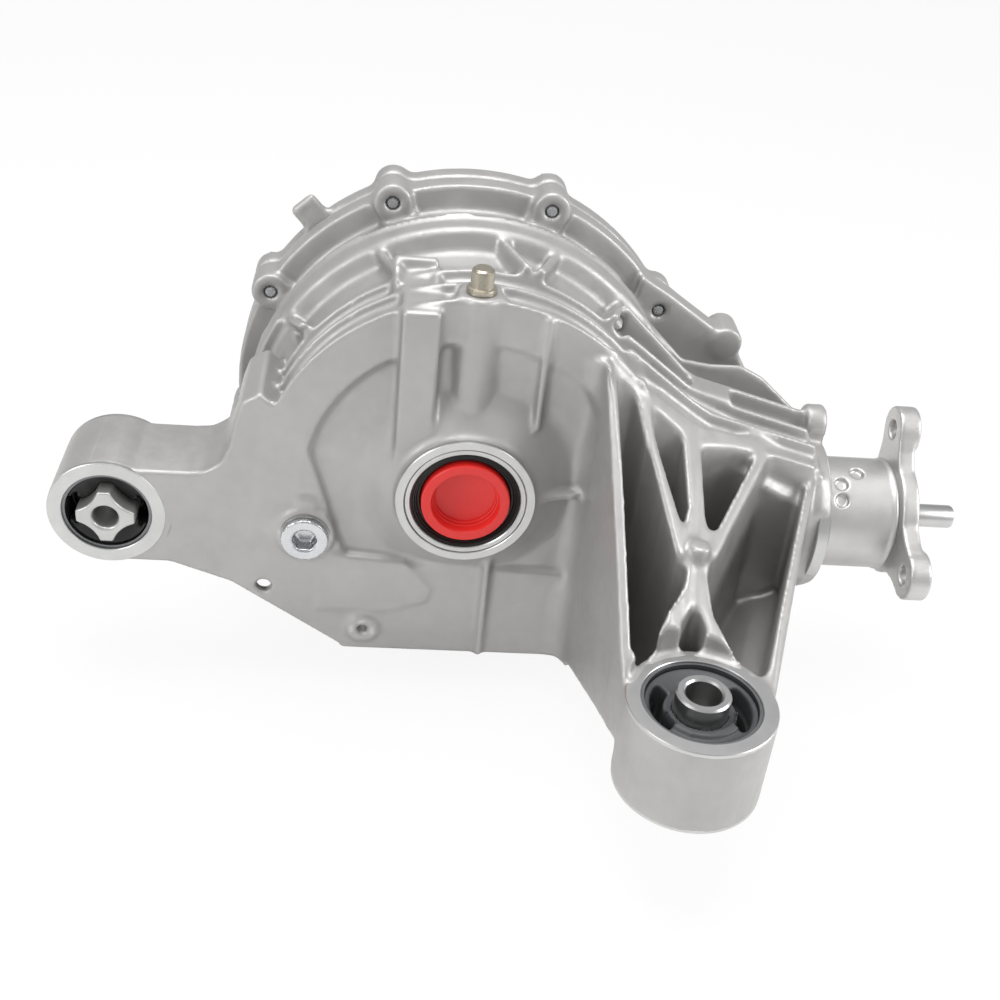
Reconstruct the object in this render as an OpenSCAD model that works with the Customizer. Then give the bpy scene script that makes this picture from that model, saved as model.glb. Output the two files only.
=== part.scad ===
// Rear differential: cast case with side cover, hypoid gear set, bevel differential and three-point rubber mounts.
// X runs forwards along the pinion axis, Y runs along the output axis away from the near output, Z is up.
// The origin is the centre of the near output boss on its machined face, and every size is in millimetres.

/* [Layout] */
// Distance from the near output face to the pinion axis
pinion_y = 60; // [59:0.5:61]
// Drop of the pinion axis below the output axis, the hypoid offset
pinion_drop = 32; // [31:0.5:33]
// Distance from the near output face to the joint between case and cover
joint_y = 135; // [133:1:139]
// Distance from the near output face to the far output face
output_width = 190; // [188:1:196]
// Distance from the output axis to the end face of the pinion nose
nose_end_x = 213; // [211:1:217]

/* [Case] */
// Wall of the castings
wall = 6; // [5:0.5:7]
// Distance of the ribbed drum's near face behind the near output face
drum_face_y = 15; // [14:0.5:16]
// Radius over the cooling fins of the near drum
fin_r = 114; // [113:0.5:116]
// Height of the cooling fins
fin_height = 6; // [4:0.5:7]
// Thickness of a cooling fin
fin_t = 3.2; // [2.5:0.1:4]
// Radius of the gear chamber
chamber_r = 102; // [101:0.5:103]
// Radius of the sunken dish round the near output
dish_r = 89.6; // [86:0.5:92]
// Depth of the sunken dish
dish_depth = 5; // [3:0.5:6]
// Radius of the joint flanges
flange_r = 135; // [134:0.5:137]
// Height of the flat skirt's lower edge over the lowest point of the joint flanges
skirt_rise = 17; // [15:0.5:19]
// Thickness of each joint flange
flange_t = 15; // [13:0.5:17]
// Width of the thin strengthening ribs
rib_t = 5; // [4:0.5:6]

/* [Joint bolts] */
// Number of bolts round the joint
joint_bolts = 9; // [8:1:10]
// Distance of the joint bolt circle inside the edge of the joint flanges
joint_bolt_inset = 3; // [2:0.5:4]
// Angle of the first joint bolt above the pinion direction
joint_bolt_start = 31; // [29:0.5:33]
// Diameter of a joint bolt
joint_bolt_d = 8; // [7:0.5:9]
// Radius of a joint bolt boss
joint_boss_r = 11; // [10:0.5:12]
// Length of the threaded boss in front of the joint
joint_boss_len = 21; // [19:0.5:23]

/* [Output bores] */
// Radius of the machined output boss
output_boss_r = 38.3; // [38:0.1:40]
// Radius of the bore for the output seal
seal_bore_r = 33.4; // [33:0.1:34.4]
// Depth of the bore for the output seal
seal_bore_depth = 11; // [10:0.5:12]
// Radius of the drive shaft opening through the output seal
seal_lip_r = 24.4; // [23.6:0.1:25]

/* [Rear mount] */
// Distance of the rear mount axis behind the output axis
rear_mount_x = 196; // [192:1:200]
// Drop of the rear mount axis below the output axis
rear_mount_drop = 28.4; // [27:0.1:30]
// Outer radius of the rear mount eye
rear_eye_r = 32.5; // [32:0.5:34]
// Bore radius of the rear mount eye
rear_bore_r = 24.4; // [24:0.1:25]
// Length of the rear mount eye
rear_eye_len = 54; // [50:1:58]
// Bolt hole radius of the rear mount core
rear_bolt_r = 7; // [6:0.1:8]

/* [Front mount] */
// Distance of the front mount axis ahead of the output axis
front_mount_x = 114; // [112:1:116]
// Distance of the front mount axis before the near output face
front_mount_y = 125; // [122:1:128]
// Drop of the top of the front mount housing below the output axis
front_top_drop = 26; // [24:0.5:28]
// Outer radius of the front mount housing
front_housing_r = 38; // [37.5:0.5:40]
// Bore radius of the front mount housing
front_bore_r = 30; // [29.5:0.1:31]
// Height of the front mount housing
front_housing_len = 52; // [50:1:56]
// Outer radius of the front mount sleeve
front_sleeve_r = 13.8; // [13:0.1:14.5]
// Bolt hole radius of the front mount sleeve
front_bolt_r = 9.2; // [8:0.1:10]

/* [Gears] */
// Teeth of the ring gear
ring_teeth = 40; // [40:1:40]
// Teeth of the pinion
pinion_teeth = 11; // [11:1:11]
// Outer radius of the ring gear
ring_r = 98; // [97:0.5:99]
// Face width of the ring gear teeth along the pinion axis
tooth_face = 27; // [24:0.5:28]
// Play between the hypoid teeth
backlash = 1.4; // [1:0.1:1.8]

/* [Carrier] */
// Distance from the near output face to the cross pin
cross_pin_y = 78; // [77:0.5:79]
// Outer radius of the carrier body
carrier_r = 54; // [52:0.5:56]
// Radius of the ring gear's seat on the carrier
ring_bore_r = 61; // [60:0.5:62]
// Teeth of a side gear
side_teeth = 16; // [16:1:16]
// Teeth of a planet gear
planet_teeth = 10; // [10:1:10]
// Tooth module of the bevel gears
bevel_module = 4; // [3.8:0.1:4.1]
// Diameter of the cross pin
cross_pin_d = 18; // [16:0.5:20]
// Radius of the splined bore of a side gear
spline_r = 14; // [13:0.5:15]

/* [Bearings] */
// Bore radius of the carrier bearings
carrier_bearing_r = 22.6; // [22:0.1:23]
// Outer radius of the carrier bearings
carrier_cup_r = 36.7; // [36:0.1:37]
// Width of the carrier bearings
carrier_bearing_w = 18; // [17:0.5:19]
// Bore radius of the pinion head bearing
head_bearing_r = 20; // [19:0.1:21]
// Outer radius of the pinion head bearing
head_cup_r = 40; // [39:0.1:41]
// Width of the pinion head bearing
head_bearing_w = 22; // [21:0.5:23]
// Bore radius of the pinion tail bearing
tail_bearing_r = 16; // [15.5:0.1:16.5]
// Outer radius of the pinion tail bearing
tail_cup_r = 34; // [33:0.1:35]
// Width of the pinion tail bearing
tail_bearing_w = 18; // [17:0.5:19]

/* [Drive flange] */
// Distance from the output axis to the back face of the flange arms
flange_back_x = 259; // [257:0.5:261]
// Thickness of the flange arms
arm_t = 13; // [11:0.5:15]
// Radius of the circle of the three flange bolts
arm_bolt_circle_r = 52; // [50:0.5:54]
// Radius of the flange bolt holes
arm_hole_r = 5.8; // [5:0.1:6.5]
// Outer radius of the flange sleeve
sleeve_r = 33.2; // [32.5:0.1:33.8]
// Radius of the centring pin
centring_pin_r = 7; // [6:0.1:8]
// Length that the centring pin stands out of the flange
centring_pin_len = 31; // [28:0.5:34]

/* [Hidden] */
$fn = 72;
hull_fn = 32;
eps = 0.01;
part_gap = 0.3;
fit_gap = 0.05;
round_fn = 40;

// Sizes that follow the joint flanges.
joint_bolt_circle_r = flange_r - joint_bolt_inset;
skirt_drop = flange_r - skirt_rise;

// Gear sizes: every tooth narrows towards the point of the pinion axis that lies under the output axis.
ring_x_out = sqrt(ring_r * ring_r - pinion_drop * pinion_drop);
ring_x_in = ring_x_out - tooth_face;
gear_ratio = ring_teeth / pinion_teeth;
pinion_pitch_r = ring_x_out / gear_ratio;
mesh_module = 2 * pinion_pitch_r / pinion_teeth;
pressure_angle = 20;
pinion_addendum = 1.25 * mesh_module;
pinion_dedendum = 0.85 * mesh_module;
tooth_clearance = 0.2 * mesh_module;
tooth_taper = ring_x_in / ring_x_out;
mesh_y = pinion_y + pinion_pitch_r;
ring_back_y = mesh_y + 26;
ring_tip_in_y = pinion_y + (pinion_pitch_r - pinion_dedendum + tooth_clearance) * tooth_taper;
ring_tip_out_y = pinion_y + pinion_pitch_r - pinion_dedendum + tooth_clearance;
ring_in_r = sqrt(ring_x_in * ring_x_in + pinion_drop * pinion_drop);

// Places along the output axis.
near_shoulder_y = seal_bore_depth + 5;
near_shim_t = 2;
near_bearing_y = near_shoulder_y + near_shim_t;
far_shoulder_y = output_width - near_shoulder_y;
far_bearing_y = far_shoulder_y - near_shim_t - carrier_bearing_w;
carrier_near_y = near_bearing_y + carrier_bearing_w;
carrier_flange_y = ring_back_y + 10;

// Places along the pinion axis.
head_bearing_x = ring_x_out + 6;
tail_bearing_x = nose_end_x - 18 - tail_bearing_w;
pinion_seal_x = nose_end_x - 13;
flange_face_x = flange_back_x + arm_t;

module along_x() { rotate([0, 90, 0]) children(); }
module along_y() { rotate([-90, 0, 0]) children(); }
module on_pinion(x = 0) { translate([x, pinion_y, -pinion_drop]) along_x() children(); }
module on_output(y = 0) { translate([0, y, 0]) along_y() children(); }
module ring(r_out, r_in, h) {
    difference() {
        cylinder(h = h, r = r_out);
        translate([0, 0, -1]) cylinder(h = h + 2, r = r_in);
    }
}
module rear_mount_axis(y) { translate([-rear_mount_x, y, -rear_mount_drop]) along_y() children(); }
module front_mount_axis(z) { translate([front_mount_x, -front_mount_y, z]) children(); }
module upright_plate(y, depth, points) {
    translate([0, y + depth, 0]) rotate([90, 0, 0]) linear_extrude(depth) polygon(points);
}
module joint_bolt_places() {
    for (i = [0 : joint_bolts - 1]) {
        a = joint_bolt_start + i * 360 / joint_bolts;
        translate([joint_bolt_circle_r * cos(a), 0, joint_bolt_circle_r * sin(a)]) children();
    }
}
module dowel_places() {
    for (i = [0, 5]) {
        a = joint_bolt_start + (i + 0.5) * 360 / joint_bolts;
        translate([dowel_circle_r * cos(a), 0, dowel_circle_r * sin(a)]) children();
    }
}
// A straight upright wall between two points, each given as x, y, top and bottom.
module wall_between(p, q, t) {
    run = norm([q[0] - p[0], q[1] - p[1]]);
    translate([p[0], p[1], 0])
        rotate([0, 0, atan2(q[1] - p[1], q[0] - p[0])])
            translate([0, t / 2, 0])
                rotate([90, 0, 0])
                    linear_extrude(t)
                        polygon([[0, p[3]], [run, q[3]], [run, q[2]], [0, p[2]]]);
}

// A slab of even thickness over the triangle of three points, grown a little over its borders.
module sloped_triangle(a, b, c, t) {
    n = cross(b - a, c - a);
    tilt = atan(norm([n[0], n[1]]) / abs(n[2]));
    middle = (a + b + c) / 3;
    intersection() {
        translate(a) rotate(a = tilt, v = cross([0, 0, 1], n / n[2])) translate([-300, -300, 0]) cube([600, 600, t]);
        translate([0, 0, -200]) linear_extrude(400)
            polygon([for (p = [a, b, c]) [p[0] + (p[0] - middle[0]) * 0.03, p[1] + (p[1] - middle[1]) * 0.03]]);
    }
}

// Main case

drum_root_r = fin_r - fin_height;
drum_wide_r = flange_r - 15;
nose_wide_x = 80;
nose_wide_r = 104;
nose_end_r = 45;
nose_near_y = drum_face_y + 5;
nose_far_y = joint_y - 5;
bracket_floor_t = 6;
front_bottom = -front_top_drop - front_housing_len;
front_top = -front_top_drop;
rear_z = -rear_mount_drop;
arm_near_y = drum_face_y;
arm_far_y = drum_face_y + rear_eye_len;
arm_bottom = rear_z - rear_eye_r;
web_t = 8;
breather_boss_r = 12.5;
breather_y = drum_face_y + 9;
breather_top = fin_r + 0.5;
column_x = [-40, -20];
fill_x = -87;
fill_z = -35;
fill_boss_r = 16.5;
fill_seat_y = drum_face_y - 3;
plug_thread_r = 11;
plug_head_r = 13.3;
plug_washer_r = 14;
plug_washer_t = 1.6;
plug_hex = 12;
plug_len = 16;
stud_boss = [-52.7, -101];
web_hole = [-110.5, -74.6];
web_hole_r = 4.6;
stud_hole_r = 3.5;
drain_x = -20;
drain_y = 68;
drain_seat_z = -skirt_drop;
near_tower_r = carrier_cup_r + 7.5;
shaft_opening_r = carrier_bearing_r + 8;
breather_stem_r = 4;
dowel_r = 4;
dowel_len = 16;
dowel_circle_r = joint_bolt_circle_r - 5;

module drum_outside() {
    on_output() rotate_extrude() polygon([
        [0, 0],
        [output_boss_r, 0],
        [output_boss_r, 6],
        [output_boss_r + 6, drum_face_y + dish_depth - 2],
        [dish_r - 5, drum_face_y + dish_depth],
        [dish_r, drum_face_y],
        [fin_r, drum_face_y],
        [fin_r, drum_face_y + fin_t],
        [drum_root_r, drum_face_y + fin_t + 1],
        [drum_root_r, drum_face_y + 47],
        [drum_wide_r - 2, drum_face_y + 66],
        [drum_wide_r, joint_y - flange_t],
        [flange_r, joint_y - flange_t],
        [flange_r, joint_y],
        [0, joint_y]
    ]);
    for (y = [20, 36.8]) on_output(drum_face_y + y) cylinder(h = fin_t, r = fin_r + 0.2);
    on_output(drum_face_y + 67.5) cylinder(h = fin_t, r = drum_wide_r + fin_height);
    on_output(drum_face_y + 84) cylinder(h = fin_t, r = drum_wide_r + fin_height + 1);
}

module nose_outside() {
    intersection() {
        on_pinion(30) rotate_extrude() polygon([
            [0, 0],
            [nose_wide_r, 0],
            [nose_wide_r, nose_wide_x - 30],
            [nose_end_r + 2, nose_end_x - 38],
            [nose_end_r, nose_end_x - 30],
            [0, nose_end_x - 30]
        ]);
        translate([0, nose_near_y + 0.3, 0.7 - skirt_drop])
            cube([nose_end_x + 10, nose_far_y - nose_near_y, 2 * skirt_drop]);
    }
}

module rear_arm_outside() {
    arm_outline = [
        [-rear_mount_x, arm_bottom + 0.5],
        [-163, arm_bottom + 0.5],
        [-129, -72.7],
        [-62, -skirt_drop],
        [-62, -60],
        [-90, 30],
        [-112, 52],
        [-122, 46],
        [-126, 34],
        [-129, 18],
        [-134, 7],
        [-143, 1],
        [-152, 0],
        [-rear_mount_x, 0]
    ];
    rear_mount_axis(arm_near_y) cylinder(h = rear_eye_len, r = rear_eye_r);
    intersection() {
        upright_plate(arm_near_y + 0.5, rear_eye_len - 1, arm_outline);
        union() {
            upright_plate(arm_near_y, web_t, arm_outline);
            upright_plate(arm_far_y - web_t, web_t, arm_outline);
            translate([-rear_mount_x, arm_near_y, -12]) cube([rear_mount_x - 100, rear_eye_len, 80]);
            translate([-140, arm_near_y, -60]) cube([6, rear_eye_len, 60]);
        }
    }
}

module front_bracket_outside() {
    left_case = [71, 18, 91, -skirt_drop];
    left_bush = [78, -104, front_top + 8, front_bottom + 12];
    right_case = [204, 46, 13, -76];
    right_bush = [153, -104, front_top - 2, front_bottom + 12];
    pin_place = [120, -48, 10, -90];
    // The ribs end at slightly different places inside the round head.
    function near_pin(i) = pin_place + i * [0.4, -0.7, -0.15, 1.5];
    // Tops of the ribs follow the ruled surface between the two border walls.
    wall_between(left_case, left_bush, 6);
    wall_between(right_case, right_bush, 6);
    wall_between([90, 20, 80, -100], near_pin(0.3), 5.5);
    wall_between(near_pin(1), [135, -100, front_top + 3, -66], 5.5);
    wall_between([122, 22, 56, -100], near_pin(2), 5.5);
    wall_between([176, 36, 28, -80], near_pin(-1), 5.5);
    wall_between(near_pin(-2), [93, -104, front_top + 6, -66], 5.5);
    translate([pin_place[0], pin_place[1], -80]) cylinder(h = 91.5, r = 5, $fn = round_fn);
    // Floor below the pockets: two sloped triangles between skirt, nose and front mount.
    floor_skirt = [68, 40, 0.5 - skirt_drop];
    floor_nose = [207, 62, -76];
    floor_right = [151, -108, -66];
    floor_left = [77, -108, -66];
    sloped_triangle(floor_skirt, floor_nose, floor_right, bracket_floor_t);
    sloped_triangle(floor_skirt, floor_right, floor_left, bracket_floor_t);
    front_mount_axis(front_bottom) cylinder(h = front_housing_len, r = front_housing_r);
}

module case_ribs() {
    // Flat column above the near output with its T-shaped head.
    translate([column_x[0], drum_face_y - 7, 0]) cube([column_x[1] - column_x[0], 57, fin_r - 6]);
    translate([column_x[0] - 5, drum_face_y + 44, 60]) cube([column_x[1] - column_x[0] + 4, 6, fin_r - 60 + 1]);
    // Upright breather boss.
    translate([0, breather_y, 20]) cylinder(h = breather_top - 20, r = breather_boss_r, $fn = round_fn);
    // Thin rib beside the breather boss.
    translate([34, drum_face_y - 3, 40]) cube([3.5, 12, 66]);
    // Rib from the output boss to the skirt and the short level rib.
    translate([15, drum_face_y - 4, 1 - skirt_drop]) cube([3.5, 10, skirt_drop - 36]);
    translate([36, drum_face_y - 5, -2]) cube([26, 10, 3.5]);
}

module near_skirt() {
    upright_plate(drum_face_y + 0.4, web_t, [
        [-65, -skirt_drop],
        [70, -skirt_drop],
        [72, -57],
        [-65, -53]
    ]);
}

module pinion_flange_web() {
    // Smooth web and pillar boss between the joint flange and the nose.
    upright_plate(joint_y - 22, 16, [[100, 90], [119, 79], [149, 59], [160, 58], [168, 40], [190, 5], [120, -20], [90, 40]]);
    translate([157, 0, 50]) on_output(joint_y - 24) cylinder(h = 26, r = 10, $fn = round_fn);
}

module nose_ribs() {
    for (y = [32, 47, 64, 82])
        upright_plate(y, 3.5, [[100, 50], [108, 66 - abs(y - 60) * 0.5], [nose_end_x - 6, 16 - abs(y - 60) * 0.25], [nose_end_x - 6, -20], [100, -20]]);
    translate([201, 72, 22]) along_x() cylinder(h = nose_end_x - 201, r = 11, $fn = round_fn);
}

module case_outside() {
    drum_outside();
    nose_outside();
    rear_arm_outside();
    front_bracket_outside();
    case_ribs();
    near_skirt();
    pinion_flange_web();
    nose_ribs();
    joint_bolt_places() on_output(joint_y - joint_boss_len) cylinder(h = joint_boss_len, r = joint_boss_r, $fn = round_fn);
    translate([fill_x, 0, fill_z]) on_output(fill_seat_y) cylinder(h = 20, r = fill_boss_r);
    translate([drain_x, drain_y, drain_seat_z]) cylinder(h = 18, r = fill_boss_r);
    translate([stud_boss[0], 0, stud_boss[1]]) on_output(drum_face_y - 3) cylinder(h = 16, r = 9.2, $fn = round_fn);
    upright_plate(drum_face_y - 1.2, 4, [[-79, -88], [-79, -48], [-30, -52], [-14, -70], [-17, -80], [-40, -88]]);
}

module case_cavity() {
    // Gear chamber that follows the drum with an even wall, round the tower of the near bearing.
    rotate_extrude() polygon([
        [0, carrier_near_y - 1],
        [near_tower_r, carrier_near_y - 1],
        [near_tower_r, drum_face_y + dish_depth + wall],
        [dish_r - 4, drum_face_y + dish_depth + wall],
        [dish_r, drum_face_y + wall + 0.5],
        [chamber_r, drum_face_y + wall + 0.5],
        [chamber_r, joint_y + 1],
        [0, joint_y + 1]
    ]);
}
module nose_cavity(x_from, x_to) {
    slope = (nose_wide_r - nose_end_r) / (nose_end_x - 8 - nose_wide_x);
    function nose_r(x) = nose_wide_r - wall - slope * max(0, x - nose_wide_x);
    intersection() {
        on_pinion(x_from) cylinder(h = x_to - x_from, r1 = nose_r(x_from), r2 = nose_r(x_to));
        translate([x_from - 1, nose_near_y + wall, wall - skirt_drop])
            cube([x_to - x_from + 2, nose_far_y - nose_near_y - 2 * wall, 2 * skirt_drop]);
    }
}
module case_inside() {
    // Output seal, bearing and gear chamber.
    on_output(-1) cylinder(h = seal_bore_depth + 1, r = seal_bore_r);
    on_output(seal_bore_depth - 1) cylinder(h = 10, r = shaft_opening_r);
    on_output(near_shoulder_y) cylinder(h = carrier_bearing_w + near_shim_t + 2, r = carrier_cup_r);
    on_output() case_cavity();
    // Pinion tunnel with its bearing and seal bores.
    difference() {
        nose_cavity(60, head_bearing_x + head_bearing_w - wall);
        on_pinion(head_bearing_x - 5) cylinder(h = head_bearing_w, r = head_cup_r + wall + 1);
    }
    nose_cavity(head_bearing_x + head_bearing_w + 4, tail_bearing_x - 5);
    on_pinion(head_bearing_x - 6) cylinder(h = head_bearing_w + 6, r = head_cup_r);
    on_pinion(head_bearing_x) cylinder(h = tail_bearing_x - head_bearing_x + 1, r = tail_cup_r - 5);
    on_pinion(tail_bearing_x) cylinder(h = nose_end_x, r = tail_cup_r);
    // Bores of the mounts.
    rear_mount_axis(arm_near_y - 1) cylinder(h = rear_eye_len + 2, r = rear_bore_r);
    front_mount_axis(front_bottom - 1) cylinder(h = front_housing_len + 2, r = front_bore_r);
    // Tapped and drilled holes.
    joint_bolt_places() on_output(joint_y - joint_boss_len - 1)
        cylinder(h = joint_boss_len + 2, r = joint_bolt_d / 2 + fit_gap, $fn = round_fn);
    dowel_places() on_output(joint_y - dowel_len / 2 - 1) cylinder(h = dowel_len, r = dowel_r + fit_gap, $fn = round_fn);
    translate([fill_x, 0, fill_z]) on_output(fill_seat_y - 1) cylinder(h = 40, r = plug_thread_r + fit_gap);
    translate([drain_x, drain_y, drain_seat_z - 1]) cylinder(h = 40, r = plug_thread_r + fit_gap);
    translate([stud_boss[0], 0, stud_boss[1]]) on_output(0) cylinder(h = drum_face_y + 11, r = stud_hole_r, $fn = round_fn);
    translate([web_hole[0], 0, web_hole[1]]) on_output(0) cylinder(h = drum_face_y + 20, r = web_hole_r, $fn = round_fn);
    translate([0, breather_y, 60]) cylinder(h = 80, r = breather_stem_r + fit_gap, $fn = round_fn);
}

module main_case() {
    color([0.78, 0.78, 0.79]) difference() {
        case_outside();
        case_inside();
    }
}
main_case();

// Side cover, sealant, bolts and dowels

sealant_t = 0.6;
cover_y = joint_y + sealant_t;
cover_back_y = cover_y + flange_t;
cover_hub_r = carrier_cup_r + 8;
bolt_head_h = 6;
bolt_head_r = 6.5;

module cover_outside() {
    on_output() rotate_extrude() polygon([
        [0, cover_y],
        [flange_r, cover_y],
        [flange_r, cover_back_y - 1],
        [flange_r - 1, cover_back_y],
        [drum_wide_r - 6, cover_back_y],
        [cover_hub_r + 22, cover_back_y + 9],
        [cover_hub_r, cover_back_y + 16],
        [cover_hub_r, output_width - 12],
        [output_boss_r + 2, output_width - 6],
        [output_boss_r, output_width],
        [0, output_width]
    ]);
    joint_bolt_places() on_output(cover_y) cylinder(h = flange_t, r = joint_boss_r, $fn = round_fn);
    // Radial ribs from the hub to the bolt bosses.
    for (i = [0 : joint_bolts - 1])
        rotate([0, -joint_bolt_start - i * 360 / joint_bolts, 0])
            translate([0, 0, -rib_t / 2]) linear_extrude(rib_t) polygon([
                [cover_hub_r - 2, cover_y + 2],
                [joint_bolt_circle_r - 10, cover_y + 2],
                [joint_bolt_circle_r - 10, cover_back_y],
                [drum_wide_r - 6, cover_back_y + 5],
                [cover_hub_r - 2, output_width - 14]
            ]);
    // Locating lug on the rim.
    rotate([0, -129, 0]) translate([flange_r - 3, cover_y + 1, -9]) cube([20, 5, 18]);
}

module side_cover() {
    color([0.76, 0.76, 0.77]) difference() {
        cover_outside();
        on_output() rotate_extrude() polygon([
            [0, cover_y - 1],
            [chamber_r, cover_y - 1],
            [chamber_r, cover_y + 4],
            [cover_hub_r + 20, cover_back_y + 2],
            [shaft_opening_r + 4, far_bearing_y - 2],
            [0, far_bearing_y - 2]
        ]);
        on_output(far_bearing_y - 3) cylinder(h = far_shoulder_y - far_bearing_y + 3, r = carrier_cup_r);
        on_output(far_bearing_y) cylinder(h = output_width, r = shaft_opening_r);
        on_output(output_width - seal_bore_depth) cylinder(h = seal_bore_depth + 1, r = seal_bore_r);
        joint_bolt_places() on_output(cover_y - 1)
            cylinder(h = flange_t + 2, r = joint_bolt_d / 2 + 0.5, $fn = round_fn);
        dowel_places() on_output(joint_y - 1) cylinder(h = dowel_len / 2 + 1.5, r = dowel_r + fit_gap, $fn = round_fn);
    }
}
side_cover();

module joint_sealant() {
    color([0.25, 0.25, 0.26]) on_output(joint_y) ring(dowel_circle_r - dowel_r - 2, chamber_r + 3, sealant_t);
}
joint_sealant();

module cover_bolts() {
    tip_y = joint_y - joint_boss_len + 1;
    color([0.55, 0.55, 0.57]) joint_bolt_places() {
        on_output(tip_y) cylinder(h = 2, r1 = joint_bolt_d / 2 - 1.2, r2 = joint_bolt_d / 2, $fn = round_fn);
        on_output(tip_y + 1.99) cylinder(h = cover_back_y - tip_y - 1, r = joint_bolt_d / 2, $fn = round_fn);
        on_output(cover_back_y) cylinder(h = 1.8, r = bolt_head_r + 2, $fn = round_fn);
        on_output(cover_back_y + 1.5) cylinder(h = bolt_head_h, r = bolt_head_r + 0.9, $fn = 6);
    }
}
cover_bolts();

module dowel_pins() {
    color([0.6, 0.6, 0.62]) dowel_places() on_output(joint_y - dowel_len / 2) cylinder(h = dowel_len, r = dowel_r, $fn = round_fn);
}
dowel_pins();

// Plugs and breather

module screw_plug() {
    // Seat at zero, head below it, thread above it.
    head_t = 4;
    difference() {
        union() {
            translate([0, 0, -head_t - plug_washer_t]) cylinder(h = head_t, r = plug_head_r);
            translate([0, 0, -plug_washer_t - eps]) cylinder(h = plug_len, r = plug_thread_r);
        }
        translate([0, 0, -head_t - plug_washer_t - 1])
            cylinder(h = 9, r = plug_hex / 2 / cos(30), $fn = 6);
    }
}
module plug_washer() {
    translate([0, 0, -plug_washer_t]) ring(plug_washer_r, plug_thread_r + fit_gap, plug_washer_t);
}
module at_fill() { translate([fill_x, 0, fill_z]) on_output(fill_seat_y) children(); }
module at_drain() { translate([drain_x, drain_y, drain_seat_z]) children(); }
module fill_plug() { color([0.72, 0.72, 0.73]) at_fill() screw_plug(); }
fill_plug();
module fill_plug_washer() { color([0.7, 0.7, 0.7]) at_fill() plug_washer(); }
fill_plug_washer();
module drain_plug() { color([0.72, 0.72, 0.73]) at_drain() screw_plug(); }
drain_plug();
module drain_plug_washer() { color([0.7, 0.7, 0.7]) at_drain() plug_washer(); }
drain_plug_washer();

module breather() {
    color([0.7, 0.68, 0.6]) translate([0, breather_y, breather_top]) difference() {
        rotate_extrude($fn = round_fn) polygon([
            [0, -18],
            [breather_stem_r, -18],
            [breather_stem_r, 0],
            [8, 0],
            [8, 3],
            [6.2, 4],
            [6.2, 12],
            [5.2, 13.5],
            [0, 13.5]
        ]);
        translate([0, 0, -19]) cylinder(h = 26, r = 1.5, $fn = 16);
    }
}
breather();

// Rubber mounts

rear_shell_t = 1.6;
rear_shell_len = rear_eye_len - 3;
rear_core_half = 16;
rear_core_flat = 3.6;
rear_core_len = rear_eye_len + 9;
front_shell_t = 1.6;
front_sleeve_len = front_housing_len + 11;

module rear_core_outline() {
    h = rear_core_half;
    w = rear_core_flat;
    waist = 11.6;
    hollow_r = 18;
    difference() {
        polygon([[w, h], [h, w], [h, -w], [w, -h], [-w, -h], [-h, -w], [-h, w], [-w, h]]);
        for (a = [45 : 90 : 315])
            translate([(waist + hollow_r) * cos(a), (waist + hollow_r) * sin(a)]) circle(r = hollow_r);
    }
}
module rear_bush_shell() {
    color([0.5, 0.5, 0.5]) rear_mount_axis(arm_near_y + 1.5)
        ring(rear_bore_r - fit_gap, rear_bore_r - rear_shell_t, rear_shell_len);
}
rear_bush_shell();
module rear_bush_rubber() {
    rubber_r = rear_bore_r - rear_shell_t;
    color([0.06, 0.06, 0.065]) rear_mount_axis(arm_near_y + 3) difference() {
        cylinder(h = rear_eye_len - 6, r = rubber_r);
        translate([0, 0, -1]) linear_extrude(rear_eye_len) rear_core_outline();
        // Two curved voids let the core move along the car.
        for (side = [0, 180]) rotate([0, 0, side - 32]) translate([0, 0, -1])
            rotate_extrude(angle = 64) translate([rubber_r - 4.6, 0]) square([2.4, rear_eye_len]);
    }
}
rear_bush_rubber();
module rear_bush_core() {
    color([0.75, 0.75, 0.76]) rear_mount_axis(arm_near_y + (rear_eye_len - rear_core_len) / 2) difference() {
        linear_extrude(rear_core_len) rear_core_outline();
        translate([0, 0, -1]) cylinder(h = rear_core_len + 2, r = rear_bolt_r);
    }
}
rear_bush_core();

module front_bush_shell() {
    color([0.5, 0.5, 0.5]) front_mount_axis(front_bottom + 1)
        ring(front_bore_r - fit_gap, front_bore_r - front_shell_t, front_housing_len - 2);
}
front_bush_shell();
module front_bush_rubber() {
    rubber_r = front_bore_r - front_shell_t;
    color([0.16, 0.16, 0.17]) front_mount_axis(front_bottom + 3) difference() {
        cylinder(h = front_housing_len - 6, r = rubber_r);
        translate([0, 0, -1]) cylinder(h = front_housing_len, r = front_sleeve_r);
        for (side = [0, 180]) rotate([0, 0, side - 40]) translate([0, 0, -1])
            rotate_extrude(angle = 80) translate([front_sleeve_r + 4.5, 0]) square([6, front_housing_len]);
    }
}
front_bush_rubber();
module front_bush_sleeve() {
    color([0.7, 0.7, 0.71]) front_mount_axis(front_bottom - (front_sleeve_len - front_housing_len) / 2)
        ring(front_sleeve_r, front_bolt_r, front_sleeve_len);
}
front_bush_sleeve();

// Seals and transit plugs

seal_case_t = 3.3;
seal_w = 9;
plug_cup_r = 18.7;

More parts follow.
